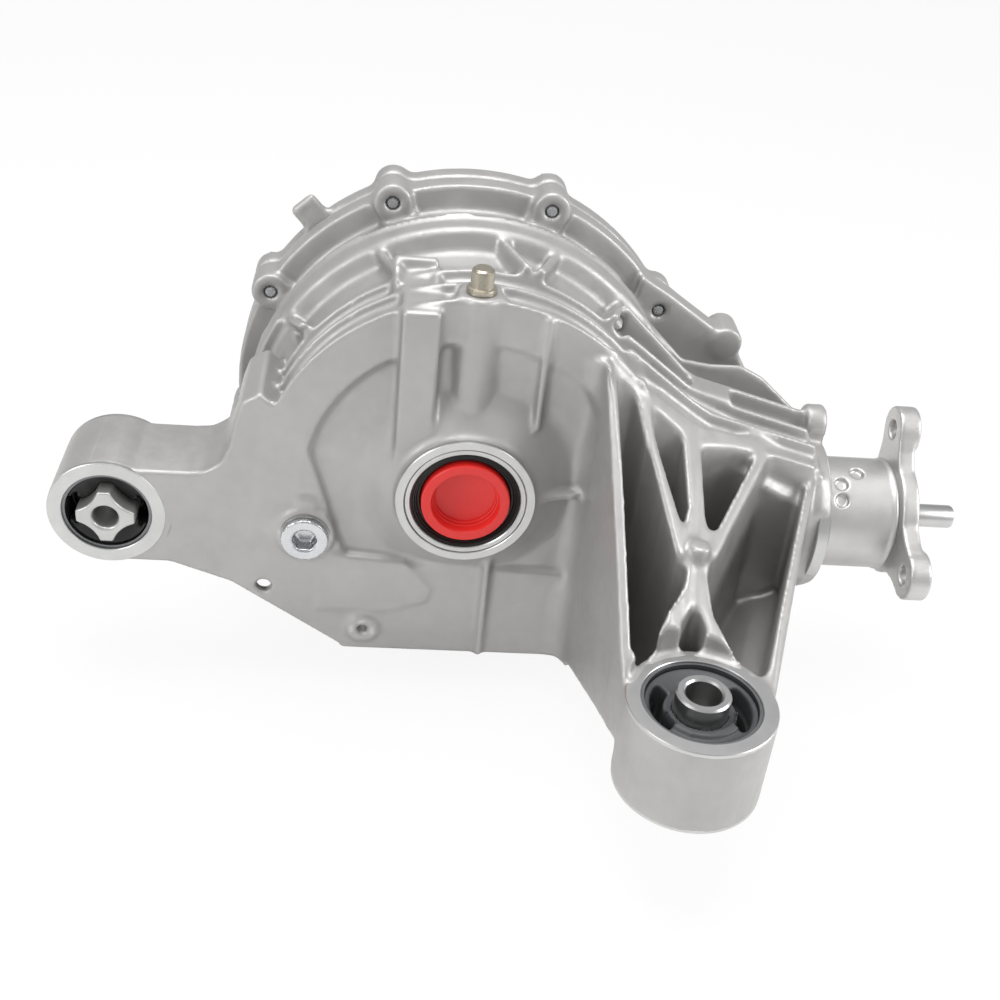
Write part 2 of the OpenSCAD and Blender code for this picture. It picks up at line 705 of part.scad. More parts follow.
module far_side() { translate([0, output_width, 0]) mirror([0, 1, 0]) children(); }
module seal_case() {
    on_output(0.4) ring(seal_bore_r - fit_gap, seal_bore_r - seal_case_t, seal_w);
}
module seal_lip() {
    on_output(0.8) rotate_extrude() polygon([
        [seal_lip_r, 0.4],
        [seal_bore_r - seal_case_t, 0],
        [seal_bore_r - seal_case_t, seal_w - 1],
        [seal_lip_r + 3, seal_w - 1],
        [seal_lip_r + 2, 3],
        [seal_lip_r, 3]
    ]);
}
module transit_plug() {
    on_output(-1) rotate_extrude() polygon([
        [plug_cup_r, 0],
        [seal_lip_r - fit_gap, 0],
        [seal_lip_r - fit_gap, 9],
        [seal_lip_r - 1.2, 12],
        [0, 12],
        [0, 10],
        [plug_cup_r - 2, 10],
        [plug_cup_r, 8.5]
    ]);
}
module near_seal_case() { color([0.62, 0.62, 0.6]) seal_case(); }
near_seal_case();
module far_seal_case() { color([0.62, 0.62, 0.6]) far_side() seal_case(); }
far_seal_case();
module near_output_seal() { color([0.05, 0.05, 0.05]) seal_lip(); }
near_output_seal();
module far_output_seal() { color([0.05, 0.05, 0.05]) far_side() seal_lip(); }
far_output_seal();
module near_transit_plug() { color([0.85, 0.12, 0.12]) transit_plug(); }
near_transit_plug();
module far_transit_plug() { color([0.85, 0.12, 0.12]) far_side() transit_plug(); }
far_transit_plug();

// Shafts of the pinion group

module pinion_seal() {
    color([0.05, 0.05, 0.05]) on_pinion(pinion_seal_x) rotate_extrude() polygon([
        [flange_hub_r + fit_gap, 4],
        [flange_hub_r + 2.5, 4],
        [flange_hub_r + 4, 9.4],
        [tail_cup_r - 4, 9.4],
        [tail_cup_r - 4, 3],
        [tail_cup_r - fit_gap, 3],
        [tail_cup_r - fit_gap, 12.5],
        [flange_hub_r + 3, 12.5],
        [flange_hub_r + fit_gap, 7]
    ]);
}
pinion_seal();

// Taper roller bearings: zero is the back of the cup and the width is the back of the cone.

bearing_tilt = 14;
roller_taper = 1.8;
roller_clearance = 0.3;
roller_share = 0.24;
function roller_r(r_in, r_out) = roller_share * (r_out - r_in);
function roller_axis_r(r_in, r_out, w, z) = (r_in + r_out) / 2 + 0.2 + (z - w / 2) * tan(bearing_tilt);
function roller_r_at(r_in, r_out, w, z) = roller_r(r_in, r_out) + (z - w / 2) * tan(roller_taper);
function cup_track(r_in, r_out, w, z) =
    roller_axis_r(r_in, r_out, w, z) + roller_r_at(r_in, r_out, w, z) / cos(bearing_tilt) + roller_clearance;
function cone_track(r_in, r_out, w, z) =
    roller_axis_r(r_in, r_out, w, z) - roller_r_at(r_in, r_out, w, z) / cos(bearing_tilt) - roller_clearance;
function track_start(w) = 0.18 * w;
function track_end(w) = 0.88 * w;
function cone_front(w) = track_start(w) - 1.4;
function roller_start(r_in, r_out, w) =
    track_start(w) + roller_clearance - roller_r(r_in, r_out) * sin(bearing_tilt);
function roller_end(r_in, r_out, w) =
    track_end(w) - roller_clearance - 1.15 * roller_r(r_in, r_out) * sin(bearing_tilt);
function roller_count(r_in, r_out) = floor(PI * (r_in + r_out) / (2.75 * roller_r(r_in, r_out)));

module bearing_cup(r_in, r_out, w) {
    cup_w = 0.78 * w;
    rotate_extrude() polygon([
        [cup_track(r_in, r_out, w, 0), 0],
        [r_out - fit_gap - 0.8, 0],
        [r_out - fit_gap, 0.8],
        [r_out - fit_gap, cup_w],
        [cup_track(r_in, r_out, w, cup_w), cup_w]
    ]);
}
module bearing_cone(r_in, r_out, w) {
    small_z = track_start(w);
    big_z = track_end(w);
    rotate_extrude() polygon([
        [r_in, cone_front(w)],
        [cone_track(r_in, r_out, w, small_z) + 0.7, cone_front(w)],
        [cone_track(r_in, r_out, w, small_z) + 0.7, small_z],
        [cone_track(r_in, r_out, w, small_z), small_z],
        [cone_track(r_in, r_out, w, big_z), big_z],
        [cone_track(r_in, r_out, w, big_z) + 2, big_z],
        [cone_track(r_in, r_out, w, big_z) + 2, w],
        [r_in + 0.6, w],
        [r_in, w - 0.6]
    ]);
}
module roller_places(r_in, r_out) {
    n = roller_count(r_in, r_out);
    for (i = [0 : n - 1]) rotate([0, 0, i * 360 / n]) children();
}
module bearing_rollers(r_in, r_out, w) {
    z1 = roller_start(r_in, r_out, w);
    z2 = roller_end(r_in, r_out, w);
    len = (z2 - z1) / cos(bearing_tilt);
    roller_places(r_in, r_out)
        translate([roller_axis_r(r_in, r_out, w, z1), 0, z1])
            rotate([0, bearing_tilt, 0])
                cylinder(h = len, r1 = roller_r_at(r_in, r_out, w, z1), r2 = roller_r_at(r_in, r_out, w, z2), $fn = 24);
}
module bearing_cage(r_in, r_out, w) {
    z1 = track_start(w) - 2.6;
    z2 = track_end(w) + 1.6;
    half_pocket = roller_r_at(r_in, r_out, w, w) + 0.3;
    difference() {
        rotate_extrude() polygon([
            [roller_axis_r(r_in, r_out, w, z1) + 0.2, z1],
            [roller_axis_r(r_in, r_out, w, z1) + 1.3, z1],
            [roller_axis_r(r_in, r_out, w, z2) + 1.3, z2],
            [roller_axis_r(r_in, r_out, w, z2) + 0.2, z2]
        ]);
        roller_places(r_in, r_out)
            translate([r_in, -half_pocket, z1 + 1])
                cube([r_out - r_in + 4, 2 * half_pocket, z2 - z1 - 2.2]);
    }
}
module at_near_bearing() { on_output(near_bearing_y) children(); }
module at_far_bearing() { on_output(far_bearing_y + carrier_bearing_w) mirror([0, 0, 1]) children(); }
module at_head_bearing() { on_pinion(head_bearing_x + head_bearing_w) mirror([0, 0, 1]) children(); }
module at_tail_bearing() { on_pinion(tail_bearing_x) children(); }

module near_bearing_cup() {
    color([0.6, 0.6, 0.63]) at_near_bearing() bearing_cup(carrier_bearing_r, carrier_cup_r, carrier_bearing_w);
}
near_bearing_cup();
module near_bearing_cone() {
    color([0.6, 0.6, 0.63]) at_near_bearing() bearing_cone(carrier_bearing_r, carrier_cup_r, carrier_bearing_w);
}
near_bearing_cone();
module near_bearing_rollers() {
    color([0.7, 0.7, 0.73]) at_near_bearing() bearing_rollers(carrier_bearing_r, carrier_cup_r, carrier_bearing_w);
}
near_bearing_rollers();
module near_bearing_cage() {
    color([0.45, 0.45, 0.47]) at_near_bearing() bearing_cage(carrier_bearing_r, carrier_cup_r, carrier_bearing_w);
}
near_bearing_cage();

module far_bearing_cup() {
    color([0.6, 0.6, 0.63]) at_far_bearing() bearing_cup(carrier_bearing_r, carrier_cup_r, carrier_bearing_w);
}
far_bearing_cup();
module far_bearing_cone() {
    color([0.6, 0.6, 0.63]) at_far_bearing() bearing_cone(carrier_bearing_r, carrier_cup_r, carrier_bearing_w);
}
far_bearing_cone();
module far_bearing_rollers() {
    color([0.7, 0.7, 0.73]) at_far_bearing() bearing_rollers(carrier_bearing_r, carrier_cup_r, carrier_bearing_w);
}
far_bearing_rollers();
module far_bearing_cage() {
    color([0.45, 0.45, 0.47]) at_far_bearing() bearing_cage(carrier_bearing_r, carrier_cup_r, carrier_bearing_w);
}
far_bearing_cage();

module head_bearing_cup() {
    color([0.6, 0.6, 0.63]) at_head_bearing() bearing_cup(head_bearing_r, head_cup_r, head_bearing_w);
}
head_bearing_cup();
module head_bearing_cone() {
    color([0.6, 0.6, 0.63]) at_head_bearing() bearing_cone(head_bearing_r, head_cup_r, head_bearing_w);
}
head_bearing_cone();
module head_bearing_rollers() {
    color([0.7, 0.7, 0.73]) at_head_bearing() bearing_rollers(head_bearing_r, head_cup_r, head_bearing_w);
}
head_bearing_rollers();
module head_bearing_cage() {
    color([0.45, 0.45, 0.47]) at_head_bearing() bearing_cage(head_bearing_r, head_cup_r, head_bearing_w);
}
head_bearing_cage();

module tail_bearing_cup() {
    color([0.6, 0.6, 0.63]) at_tail_bearing() bearing_cup(tail_bearing_r, tail_cup_r, tail_bearing_w);
}
tail_bearing_cup();
module tail_bearing_cone() {
    color([0.6, 0.6, 0.63]) at_tail_bearing() bearing_cone(tail_bearing_r, tail_cup_r, tail_bearing_w);
}
tail_bearing_cone();
module tail_bearing_rollers() {
    color([0.7, 0.7, 0.73]) at_tail_bearing() bearing_rollers(tail_bearing_r, tail_cup_r, tail_bearing_w);
}
tail_bearing_rollers();
module tail_bearing_cage() {
    color([0.45, 0.45, 0.47]) at_tail_bearing() bearing_cage(tail_bearing_r, tail_cup_r, tail_bearing_w);
}
tail_bearing_cage();

module near_preload_shim() {
    color([0.62, 0.6, 0.5]) on_output(near_shoulder_y) ring(carrier_cup_r - fit_gap, shaft_opening_r, near_shim_t);
}
near_preload_shim();
module far_preload_shim() {
    color([0.62, 0.6, 0.5]) on_output(far_shoulder_y - near_shim_t)
        ring(carrier_cup_r - fit_gap, shaft_opening_r, near_shim_t);
}
far_preload_shim();
module pinion_depth_shim() {
    color([0.62, 0.6, 0.5]) on_pinion(head_bearing_x - depth_shim_t)
        ring(head_bearing_r + 5.5, head_bearing_r + fit_gap, depth_shim_t);
}
pinion_depth_shim();

// Pinion, drive flange and nut

depth_shim_t = 2;
flange_hub_r = 22;
pinion_spline_r = 14;
nut_x = flange_back_x - 9;
nut_t = 12;
nut_af = 30;
recess_r = 19;
flange_cone_len = 12;
arm_end_r = 14.5;
sleeve_wall = 3.2;
pinion_half_tooth = 9.6;
pinion_phase = 90;
sleeve_start_x = head_bearing_x + head_bearing_w - cone_front(head_bearing_w);
sleeve_end_x = tail_bearing_x + cone_front(tail_bearing_w);

// Angles are counted from the far side towards the top; the local frame of the pinion starts downwards.
function flange_turn(a) = a + 90;
function inv_deg(a) = tan(a) * 180 / PI - a;
// Half of the angle that an involute tooth fills at a radius, seen from the gear's centre.
function half_tooth(r, pitch_r, half_at_pitch) =
    let (base_r = pitch_r * cos(pressure_angle))
    half_at_pitch + inv_deg(pressure_angle) - (r > base_r ? inv_deg(acos(base_r / r)) : 0);
function gear_outline(teeth, pitch_r, root_r, tip_r, half_at_pitch, flank_steps) = [
    for (i = [0 : teeth - 1])
        for (side = [-1, 1])
            for (k = [0 : flank_steps])
                let (share = side < 0 ? k / flank_steps : 1 - k / flank_steps)
                let (r = root_r + (tip_r - root_r) * share)
                let (a = i * 360 / teeth + side * half_tooth(r, pitch_r, half_at_pitch))
                [r * cos(a), r * sin(a)]
];

module pinion_teeth_solid() {
    // The outline lies at the outer end of the teeth and shrinks towards the point of the pinion axis at zero.
    face = ring_x_out - ring_x_in;
    on_pinion(ring_x_out) mirror([0, 0, 1])
        linear_extrude(face, scale = tooth_taper)
            rotate([0, 0, pinion_phase])
                polygon(gear_outline(pinion_teeth, pinion_pitch_r, pinion_pitch_r - pinion_dedendum,
                    pinion_pitch_r + pinion_addendum, pinion_half_tooth, 5));
}
module pinion_gear() {
    neck_r = pinion_pitch_r - pinion_dedendum - 1;
    color([0.52, 0.52, 0.55]) {
        pinion_teeth_solid();
        on_pinion(ring_x_out - 1) rotate_extrude() polygon([
            [0, 0],
            [neck_r, 0],
            [neck_r, head_bearing_x - depth_shim_t - ring_x_out - 0.2],
            [head_bearing_r + 5, head_bearing_x - depth_shim_t - ring_x_out + 0.8],
            [head_bearing_r + 5, head_bearing_x - depth_shim_t - ring_x_out + 1],
            [head_bearing_r, head_bearing_x - depth_shim_t - ring_x_out + 1],
            [head_bearing_r, sleeve_start_x - ring_x_out],
            [tail_bearing_r + 1.5, sleeve_start_x - ring_x_out],
            [tail_bearing_r + 1.5, tail_bearing_x - ring_x_out - 3],
            [tail_bearing_r, tail_bearing_x - ring_x_out - 1],
            [tail_bearing_r, tail_bearing_x + tail_bearing_w - ring_x_out - 1],
            [pinion_spline_r, tail_bearing_x + tail_bearing_w - ring_x_out],
            [pinion_spline_r, nut_x - ring_x_out - 3],
            [pinion_spline_r - 2, nut_x - ring_x_out - 2],
            [pinion_spline_r - 2, nut_x + nut_t - ring_x_out + 1],
            [0, nut_x + nut_t - ring_x_out + 1]
        ]);
    }
}
pinion_gear();

module crush_sleeve() {
    h = sleeve_end_x - sleeve_start_x;
    r = tail_bearing_r + 1.9;
    color([0.55, 0.55, 0.57]) on_pinion(sleeve_start_x) rotate_extrude() polygon([
        [r, 0],
        [r + 2.4, 0],
        [r + 2.4, h / 2 - 9],
        [r + 6, h / 2 - 3],
        [r + 6, h / 2 + 3],
        [r + 2.4, h / 2 + 9],
        [r + 2.4, h],
        [r, h],
        [r, h / 2 + 9],
        [r + 3.6, h / 2 + 2],
        [r + 3.6, h / 2 - 2],
        [r, h / 2 - 9]
    ]);
}
crush_sleeve();

module drive_flange() {
    hub_x = tail_bearing_x + tail_bearing_w;
    color([0.66, 0.66, 0.68]) difference() {
        union() {
            on_pinion(hub_x) rotate_extrude() polygon([
                [pinion_spline_r + fit_gap, 0],
                [flange_hub_r, 0],
                [flange_hub_r, flange_back_x - flange_cone_len - hub_x],
                [sleeve_r, flange_back_x - hub_x],
                [sleeve_r + 2.8, flange_back_x - hub_x],
                [sleeve_r + 2.8, flange_face_x - hub_x],
                [recess_r, flange_face_x - hub_x],
                [recess_r, nut_x - hub_x],
                [pinion_spline_r + fit_gap, nut_x - hub_x]
            ]);
            for (a = [70, 190, 310]) on_pinion(flange_back_x) rotate([0, 0, flange_turn(a)]) {
                translate([arm_bolt_circle_r, 0, 0]) cylinder(h = arm_t, r = arm_end_r);
                linear_extrude(arm_t) polygon([
                    [22, -24],
                    [arm_bolt_circle_r - arm_end_r, -arm_end_r - 2],
                    [arm_bolt_circle_r - 2, -arm_end_r + 0.5],
                    [arm_bolt_circle_r - 2, arm_end_r - 0.5],
                    [arm_bolt_circle_r - arm_end_r, arm_end_r + 2],
                    [22, 24]
                ]);
            }
        }
        for (a = [70, 190, 310]) on_pinion(flange_back_x - 1) rotate([0, 0, flange_turn(a)])
            translate([arm_bolt_circle_r, 0, 0]) cylinder(h = arm_t + 2, r = arm_hole_r);
    }
}
drive_flange();

module flange_sleeve() {
    hole_places = [[223.4, 118], [223.2, 136], [234, 103]];
    color([0.6, 0.6, 0.62]) difference() {
        on_pinion(nose_end_x + 1) ring(sleeve_r, sleeve_r - sleeve_wall, flange_back_x - nose_end_x - 1);
        for (h = hole_places) translate([h[0], pinion_y, -pinion_drop]) rotate([h[1], 0, 0])
            along_y() cylinder(h = sleeve_r + 2, r = 4, $fn = round_fn);
        on_pinion(flange_back_x - flange_cone_len - 0.1)
            cylinder(h = flange_cone_len + 0.2, r1 = flange_hub_r + fit_gap, r2 = sleeve_r + 0.2);
    }
}
flange_sleeve();

module pinion_nut() {
    color([0.5, 0.5, 0.52]) on_pinion(nut_x) difference() {
        union() {
            cylinder(h = nut_t - 2, r = nut_af / 2 / cos(30), $fn = 6);
            cylinder(h = nut_t, r = pinion_spline_r);
        }
        translate([0, 0, -1]) cylinder(h = nut_t + 2, r = pinion_spline_r - 2 + fit_gap);
    }
}
pinion_nut();

module centring_pin() {
    base_x = nut_x + nut_t + 2;
    pin_end = flange_face_x + centring_pin_len;
    color([0.62, 0.62, 0.64]) {
        on_pinion(base_x) cylinder(h = flange_face_x - 1 - base_x, r = recess_r - fit_gap);
        on_pinion(base_x + 1) cylinder(h = pin_end - base_x - 3, r = centring_pin_r);
        on_pinion(pin_end - 2 - eps) cylinder(h = 2, r1 = centring_pin_r, r2 = centring_pin_r - 2);
    }
}
centring_pin();

// Ring gear and carrier

ring_bolt_r = 72;
ring_bolts = 10;
ring_bolt_d = 10;
ring_bolt_depth = 13;
ring_bolt_collar_r = 9.5;
ring_bolt_collar_t = 1.5;
ring_bolt_head_r = 8.2;
ring_bolt_head_h = 6.2;
ring_inner_step = 9;
carrier_flange_t = 10;
carrier_flange_r = 84;
cavity_r = carrier_r - 12.5;
cavity_half = 29.4;
side_hub_r = 20;
side_bore_r = 17;
side_hub_far = 37.5;
gear_ball_r = cavity_r - 1.5;
lock_pin_z = carrier_r - 7;
lock_pin_r = 3;
lock_pin_half = 20;
side_washer_t = 1.3;
side_washer_r = 27.5;
planet_washer_t = cavity_r - gear_ball_r - 0.1;
planet_washer_r = 21;

// One gap between two ring teeth: the straight flanks of the rack that meshes with the pinion.
module ring_gap() {
    x1 = ring_x_in - 16;
    x2 = ring_x_out + 8;
    grow = x2 / ring_x_out;
    half = pinion_half_tooth * PI / 180 * pinion_pitch_r + backlash / 2;
    deep = pinion_addendum + tooth_clearance;
    high = pinion_dedendum + 4;
    on_pinion(x2) mirror([0, 0, 1]) linear_extrude(x2 - x1, scale = x1 / x2)
        rotate([0, 0, pinion_phase]) scale(grow) polygon([
            [pinion_pitch_r + deep, -half + deep * tan(pressure_angle)],
            [pinion_pitch_r + deep, half - deep * tan(pressure_angle)],
            [pinion_pitch_r - high, half + high * tan(pressure_angle)],
            [pinion_pitch_r - high, -half - high * tan(pressure_angle)]
        ]);
}
module ring_bolt_places() {
    for (i = [0 : ring_bolts - 1]) {
        a = (i + 0.5) * 360 / ring_bolts;
        translate([ring_bolt_r * cos(a), 0, ring_bolt_r * sin(a)]) children();
    }
}
module ring_gear() {
    color([0.5, 0.5, 0.53]) difference() {
        on_output() rotate_extrude() polygon([
            [ring_bore_r + fit_gap, ring_back_y],
            [ring_r - 1, ring_back_y],
            [ring_r, ring_back_y - 1],
            [ring_r, ring_tip_out_y],
            [ring_in_r, ring_tip_in_y],
            [ring_bore_r + fit_gap, ring_tip_in_y + ring_inner_step]
        ]);
        for (i = [0 : ring_teeth - 1]) rotate([0, i * 360 / ring_teeth, 0]) ring_gap();
        ring_bolt_places() on_output(ring_back_y - ring_bolt_depth)
            cylinder(h = ring_bolt_depth + 1, r = ring_bolt_d / 2 + fit_gap, $fn = round_fn);
    }
}
ring_gear();

module ring_gear_bolts() {
    head_y = ring_back_y + carrier_flange_t;
    color([0.3, 0.3, 0.32]) ring_bolt_places() {
        on_output(ring_back_y - ring_bolt_depth + 1)
            cylinder(h = carrier_flange_t + ring_bolt_depth, r = ring_bolt_d / 2, $fn = round_fn);
        on_output(head_y) cylinder(h = ring_bolt_collar_t, r = ring_bolt_collar_r, $fn = round_fn);
        on_output(head_y + ring_bolt_collar_t - 0.3) cylinder(h = ring_bolt_head_h + 0.3, r = ring_bolt_head_r, $fn = 6);
    }
}
ring_gear_bolts();

module carrier() {
    flange_back = ring_back_y + carrier_flange_t;
    color([0.42, 0.42, 0.44]) difference() {
        on_output() rotate_extrude() polygon([
            [0, near_shoulder_y + 1],
            [carrier_bearing_r - 0.8, near_shoulder_y + 1],
            [carrier_bearing_r, near_shoulder_y + 1.8],
            [carrier_bearing_r, carrier_near_y],
            [carrier_bearing_r + 6, carrier_near_y],
            [carrier_bearing_r + 6, carrier_near_y + 2],
            [carrier_r - 8, carrier_near_y + 3],
            [carrier_r, carrier_near_y + 12],
            [carrier_r, ring_back_y - 16],
            [ring_bore_r, ring_back_y - 15],
            [ring_bore_r, ring_back_y],
            [carrier_flange_r, ring_back_y],
            [carrier_flange_r, flange_back],
            [carrier_r + 6, flange_back],
            [carrier_bearing_r + 12, far_bearing_y - 10],
            [carrier_bearing_r + 6, far_bearing_y - 4],
            [carrier_bearing_r + 6, far_bearing_y],
            [carrier_bearing_r, far_bearing_y],
            [carrier_bearing_r, far_shoulder_y - 1.8],
            [carrier_bearing_r - 0.8, far_shoulder_y - 1],
            [0, far_shoulder_y - 1]
        ]);
        // Ball-shaped room for the bevel gears with flat faces behind the side gears.
        intersection() {
            translate([0, cross_pin_y, 0]) sphere(r = cavity_r);
            on_output(cross_pin_y - cavity_half) cylinder(h = 2 * cavity_half, r = cavity_r + 1);
        }
        on_output(near_shoulder_y) cylinder(h = far_shoulder_y - near_shoulder_y, r = side_bore_r);
        on_output(cross_pin_y - side_hub_far) cylinder(h = 2 * side_hub_far, r = side_hub_r + fit_gap);
        // Two windows through which the gears are fitted.
        translate([-carrier_r - 1, cross_pin_y, 0]) along_x() cylinder(h = 2 * carrier_r + 2, r = 25);
        translate([0, cross_pin_y, -carrier_r - 1]) cylinder(h = 2 * carrier_r + 2, r = cross_pin_d / 2 + fit_gap);
        translate([0, 0, lock_pin_z]) on_output(cross_pin_y - lock_pin_half)
            cylinder(h = 2 * lock_pin_half, r = lock_pin_r + fit_gap, $fn = round_fn);
        ring_bolt_places() on_output(ring_back_y - 1)
            cylinder(h = carrier_flange_t + 2, r = ring_bolt_d / 2 + 0.3, $fn = round_fn);
    }
}
carrier();

module cross_pin() {
    color([0.58, 0.58, 0.6]) difference() {
        translate([0, cross_pin_y, 1 - carrier_r]) cylinder(h = 2 * carrier_r - 2, r = cross_pin_d / 2);
        translate([0, 0, lock_pin_z]) on_output(cross_pin_y - lock_pin_half)
            cylinder(h = 2 * lock_pin_half, r = lock_pin_r + fit_gap, $fn = round_fn);
    }
}
cross_pin();
module cross_pin_lock() {
    color([0.35, 0.35, 0.36]) translate([0, 0, lock_pin_z]) on_output(cross_pin_y - lock_pin_half + 0.1)
        cylinder(h = 2 * lock_pin_half - 0.2, r = lock_pin_r, $fn = round_fn);
}
cross_pin_lock();

// Side gears and planet gears. Zero is the meeting point of the axes, and the teeth shrink towards it.

side_pitch_r = side_teeth * bevel_module / 2;
planet_pitch_r = planet_teeth * bevel_module / 2;
bevel_play = 0.5;

module bevel_teeth(teeth, pitch_r, mate_r, phase, far_d, near_d) {
    // The outline at the distance of the mate's pitch radius is enlarged to the far end.
    cone = atan2(pitch_r, mate_r);
    height = bevel_module / cos(cone);
    half_at_pitch = 90 / teeth - bevel_play / pitch_r * 90 / PI;
    translate([0, 0, far_d]) mirror([0, 0, 1])
        linear_extrude(far_d - near_d, scale = near_d / far_d)
            rotate([0, 0, phase]) scale(far_d / mate_r)
                polygon(bevel_outline(teeth, pitch_r, pitch_r - 1.2 * height, pitch_r + 0.9 * height, half_at_pitch, cone));
}
// The teeth are drawn on the back cone, whose radius is the pitch radius over the cosine of the cone angle.
function bevel_outline(teeth, pitch_r, root_r, tip_r, half_at_pitch, cone) = [
    for (i = [0 : teeth - 1])
        for (side = [-1, 1])
            for (k = [0 : 4])
                let (share = side < 0 ? k / 4 : 1 - k / 4)
                let (r = root_r + (tip_r - root_r) * share)
                let (back_pitch = pitch_r / cos(cone))
                let (back_r = back_pitch + (r - pitch_r) * cos(cone))
                let (half = half_tooth(back_r, back_pitch, half_at_pitch * cos(cone)) * back_r / r)
                let (a = i * 360 / teeth + side * half)
                [r * cos(a), r * sin(a)]
];
module side_gear() {
    hub_len = side_hub_far - 0.3;
    flat_d = cavity_half - side_washer_t;
    near_d = planet_pitch_r * 0.68;
    difference() {
        union() {
            intersection() {
                bevel_teeth(side_teeth, side_pitch_r, planet_pitch_r, 0, flat_d, near_d);
                sphere(r = gear_ball_r);
            }
            translate([0, 0, near_d]) cylinder(h = hub_len - near_d, r = side_hub_r);
        }
        translate([0, 0, near_d - 1]) cylinder(h = hub_len, r = spline_r);
    }
}
module planet_gear() {
    near_d = side_pitch_r * 0.68;
    difference() {
        intersection() {
            bevel_teeth(planet_teeth, planet_pitch_r, side_pitch_r, 180 / planet_teeth, gear_ball_r, near_d);
            sphere(r = gear_ball_r);
        }
        translate([0, 0, near_d - 1]) cylinder(h = gear_ball_r, r = cross_pin_d / 2 + fit_gap);
    }
}
module at_far_gears() { translate([0, cross_pin_y, 0]) along_y() children(); }
module at_near_gears() { translate([0, cross_pin_y, 0]) rotate([90, 0, 0]) children(); }
module at_upper_gears() { translate([0, cross_pin_y, 0]) rotate([0, 0, 90]) children(); }
module at_lower_gears() { translate([0, cross_pin_y, 0]) rotate([0, 180, 90]) children(); }

module near_side_gear() { color([0.55, 0.55, 0.58]) at_near_gears() side_gear(); }
near_side_gear();
module far_side_gear() { color([0.55, 0.55, 0.58]) at_far_gears() side_gear(); }
far_side_gear();
module upper_planet_gear() { color([0.5, 0.5, 0.53]) at_upper_gears() planet_gear(); }
upper_planet_gear();
module lower_planet_gear() { color([0.5, 0.5, 0.53]) at_lower_gears() planet_gear(); }
lower_planet_gear();

module side_washer() {
    translate([0, 0, cavity_half - side_washer_t + 0.02]) ring(side_washer_r, side_hub_r + 0.1, side_washer_t - 0.04);
}
module planet_washer() {
    intersection() {
        difference() {
            sphere(r = cavity_r - 0.05);
            sphere(r = gear_ball_r + 0.05);
        }
        translate([0, 0, cavity_r / 2]) ring(planet_washer_r, cross_pin_d / 2 + 0.1, cavity_r);
    }
}
module side_gear_washers() {
    color([0.7, 0.6, 0.35]) {
        at_near_gears() side_washer();
        at_far_gears() side_washer();
    }
}
side_gear_washers();
module planet_washers() {
    color([0.7, 0.6, 0.35]) {
        at_upper_gears() planet_washer();
        at_lower_gears() planet_washer();
    }
}
planet_washers();
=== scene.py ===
import math

import bpy
import numpy as np
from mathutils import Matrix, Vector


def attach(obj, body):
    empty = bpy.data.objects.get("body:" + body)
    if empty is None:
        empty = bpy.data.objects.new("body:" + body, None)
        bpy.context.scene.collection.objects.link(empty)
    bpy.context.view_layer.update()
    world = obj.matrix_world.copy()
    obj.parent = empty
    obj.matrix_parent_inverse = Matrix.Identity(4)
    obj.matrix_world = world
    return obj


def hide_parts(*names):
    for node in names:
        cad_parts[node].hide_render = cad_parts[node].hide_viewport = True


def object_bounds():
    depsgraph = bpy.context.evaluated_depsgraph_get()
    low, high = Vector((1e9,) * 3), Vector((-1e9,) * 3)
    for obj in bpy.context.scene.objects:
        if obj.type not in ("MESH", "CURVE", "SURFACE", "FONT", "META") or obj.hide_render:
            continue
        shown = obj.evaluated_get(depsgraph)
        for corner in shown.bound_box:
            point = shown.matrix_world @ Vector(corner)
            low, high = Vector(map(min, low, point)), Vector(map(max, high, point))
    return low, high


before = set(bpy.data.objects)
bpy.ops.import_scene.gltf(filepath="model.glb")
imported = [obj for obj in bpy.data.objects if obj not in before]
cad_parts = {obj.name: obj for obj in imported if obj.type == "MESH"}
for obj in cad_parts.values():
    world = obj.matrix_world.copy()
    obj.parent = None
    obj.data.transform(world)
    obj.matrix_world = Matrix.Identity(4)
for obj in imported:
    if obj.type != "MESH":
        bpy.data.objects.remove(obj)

import openvdb
from mathutils import Matrix, Vector

cad_low, cad_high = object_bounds()
mm = 0.001


# Main case: one casting in aluminium-silicon alloy with drum, pinion nose, rear arm and front bracket. It
# leaves its mould with a radius in every corner, and is then bead blasted to an even silver grey.
def triangles_of(node):
    """Points in millimetres and triangles of a CAD node, as arrays."""
    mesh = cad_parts[node].data
    mesh.calc_loop_triangles()
    points = np.empty(len(mesh.vertices) * 3, np.float32)
    corners = np.empty(len(mesh.loop_triangles) * 3, np.int32)
    mesh.vertices.foreach_get("co", points)
    mesh.loop_triangles.foreach_get("vertices", corners)
    return points.reshape(-1, 3) / mm, corners.reshape(-1, 3)


def lid(centre, axis, radius, thickness):
    """A plate for an opening: two circles of points about an axis, joined by a wall and two fans."""
    n = 48
    turn = np.linspace(0, 2 * np.pi, n, endpoint=False)
    side, up = [a for a in range(3) if a != axis]
    points = np.zeros((2 * n + 2, 3))
    for k in range(2):
        points[k * n:(k + 1) * n, side] = radius * np.cos(turn)
        points[k * n:(k + 1) * n, up] = radius * np.sin(turn)
        points[k * n:(k + 1) * n, axis] = points[2 * n + k, axis] = (k - 0.5) * thickness
    here = np.arange(n)
    after = np.roll(here, -1)
    wall = np.r_[np.c_[here, after, after + n], np.c_[here, after + n, here + n]]
    fans = np.r_[np.c_[after, here, here * 0 + 2 * n], np.c_[here + n, after + n, here * 0 + 2 * n + 1]]
    return points + centre, np.r_[wall, fans]


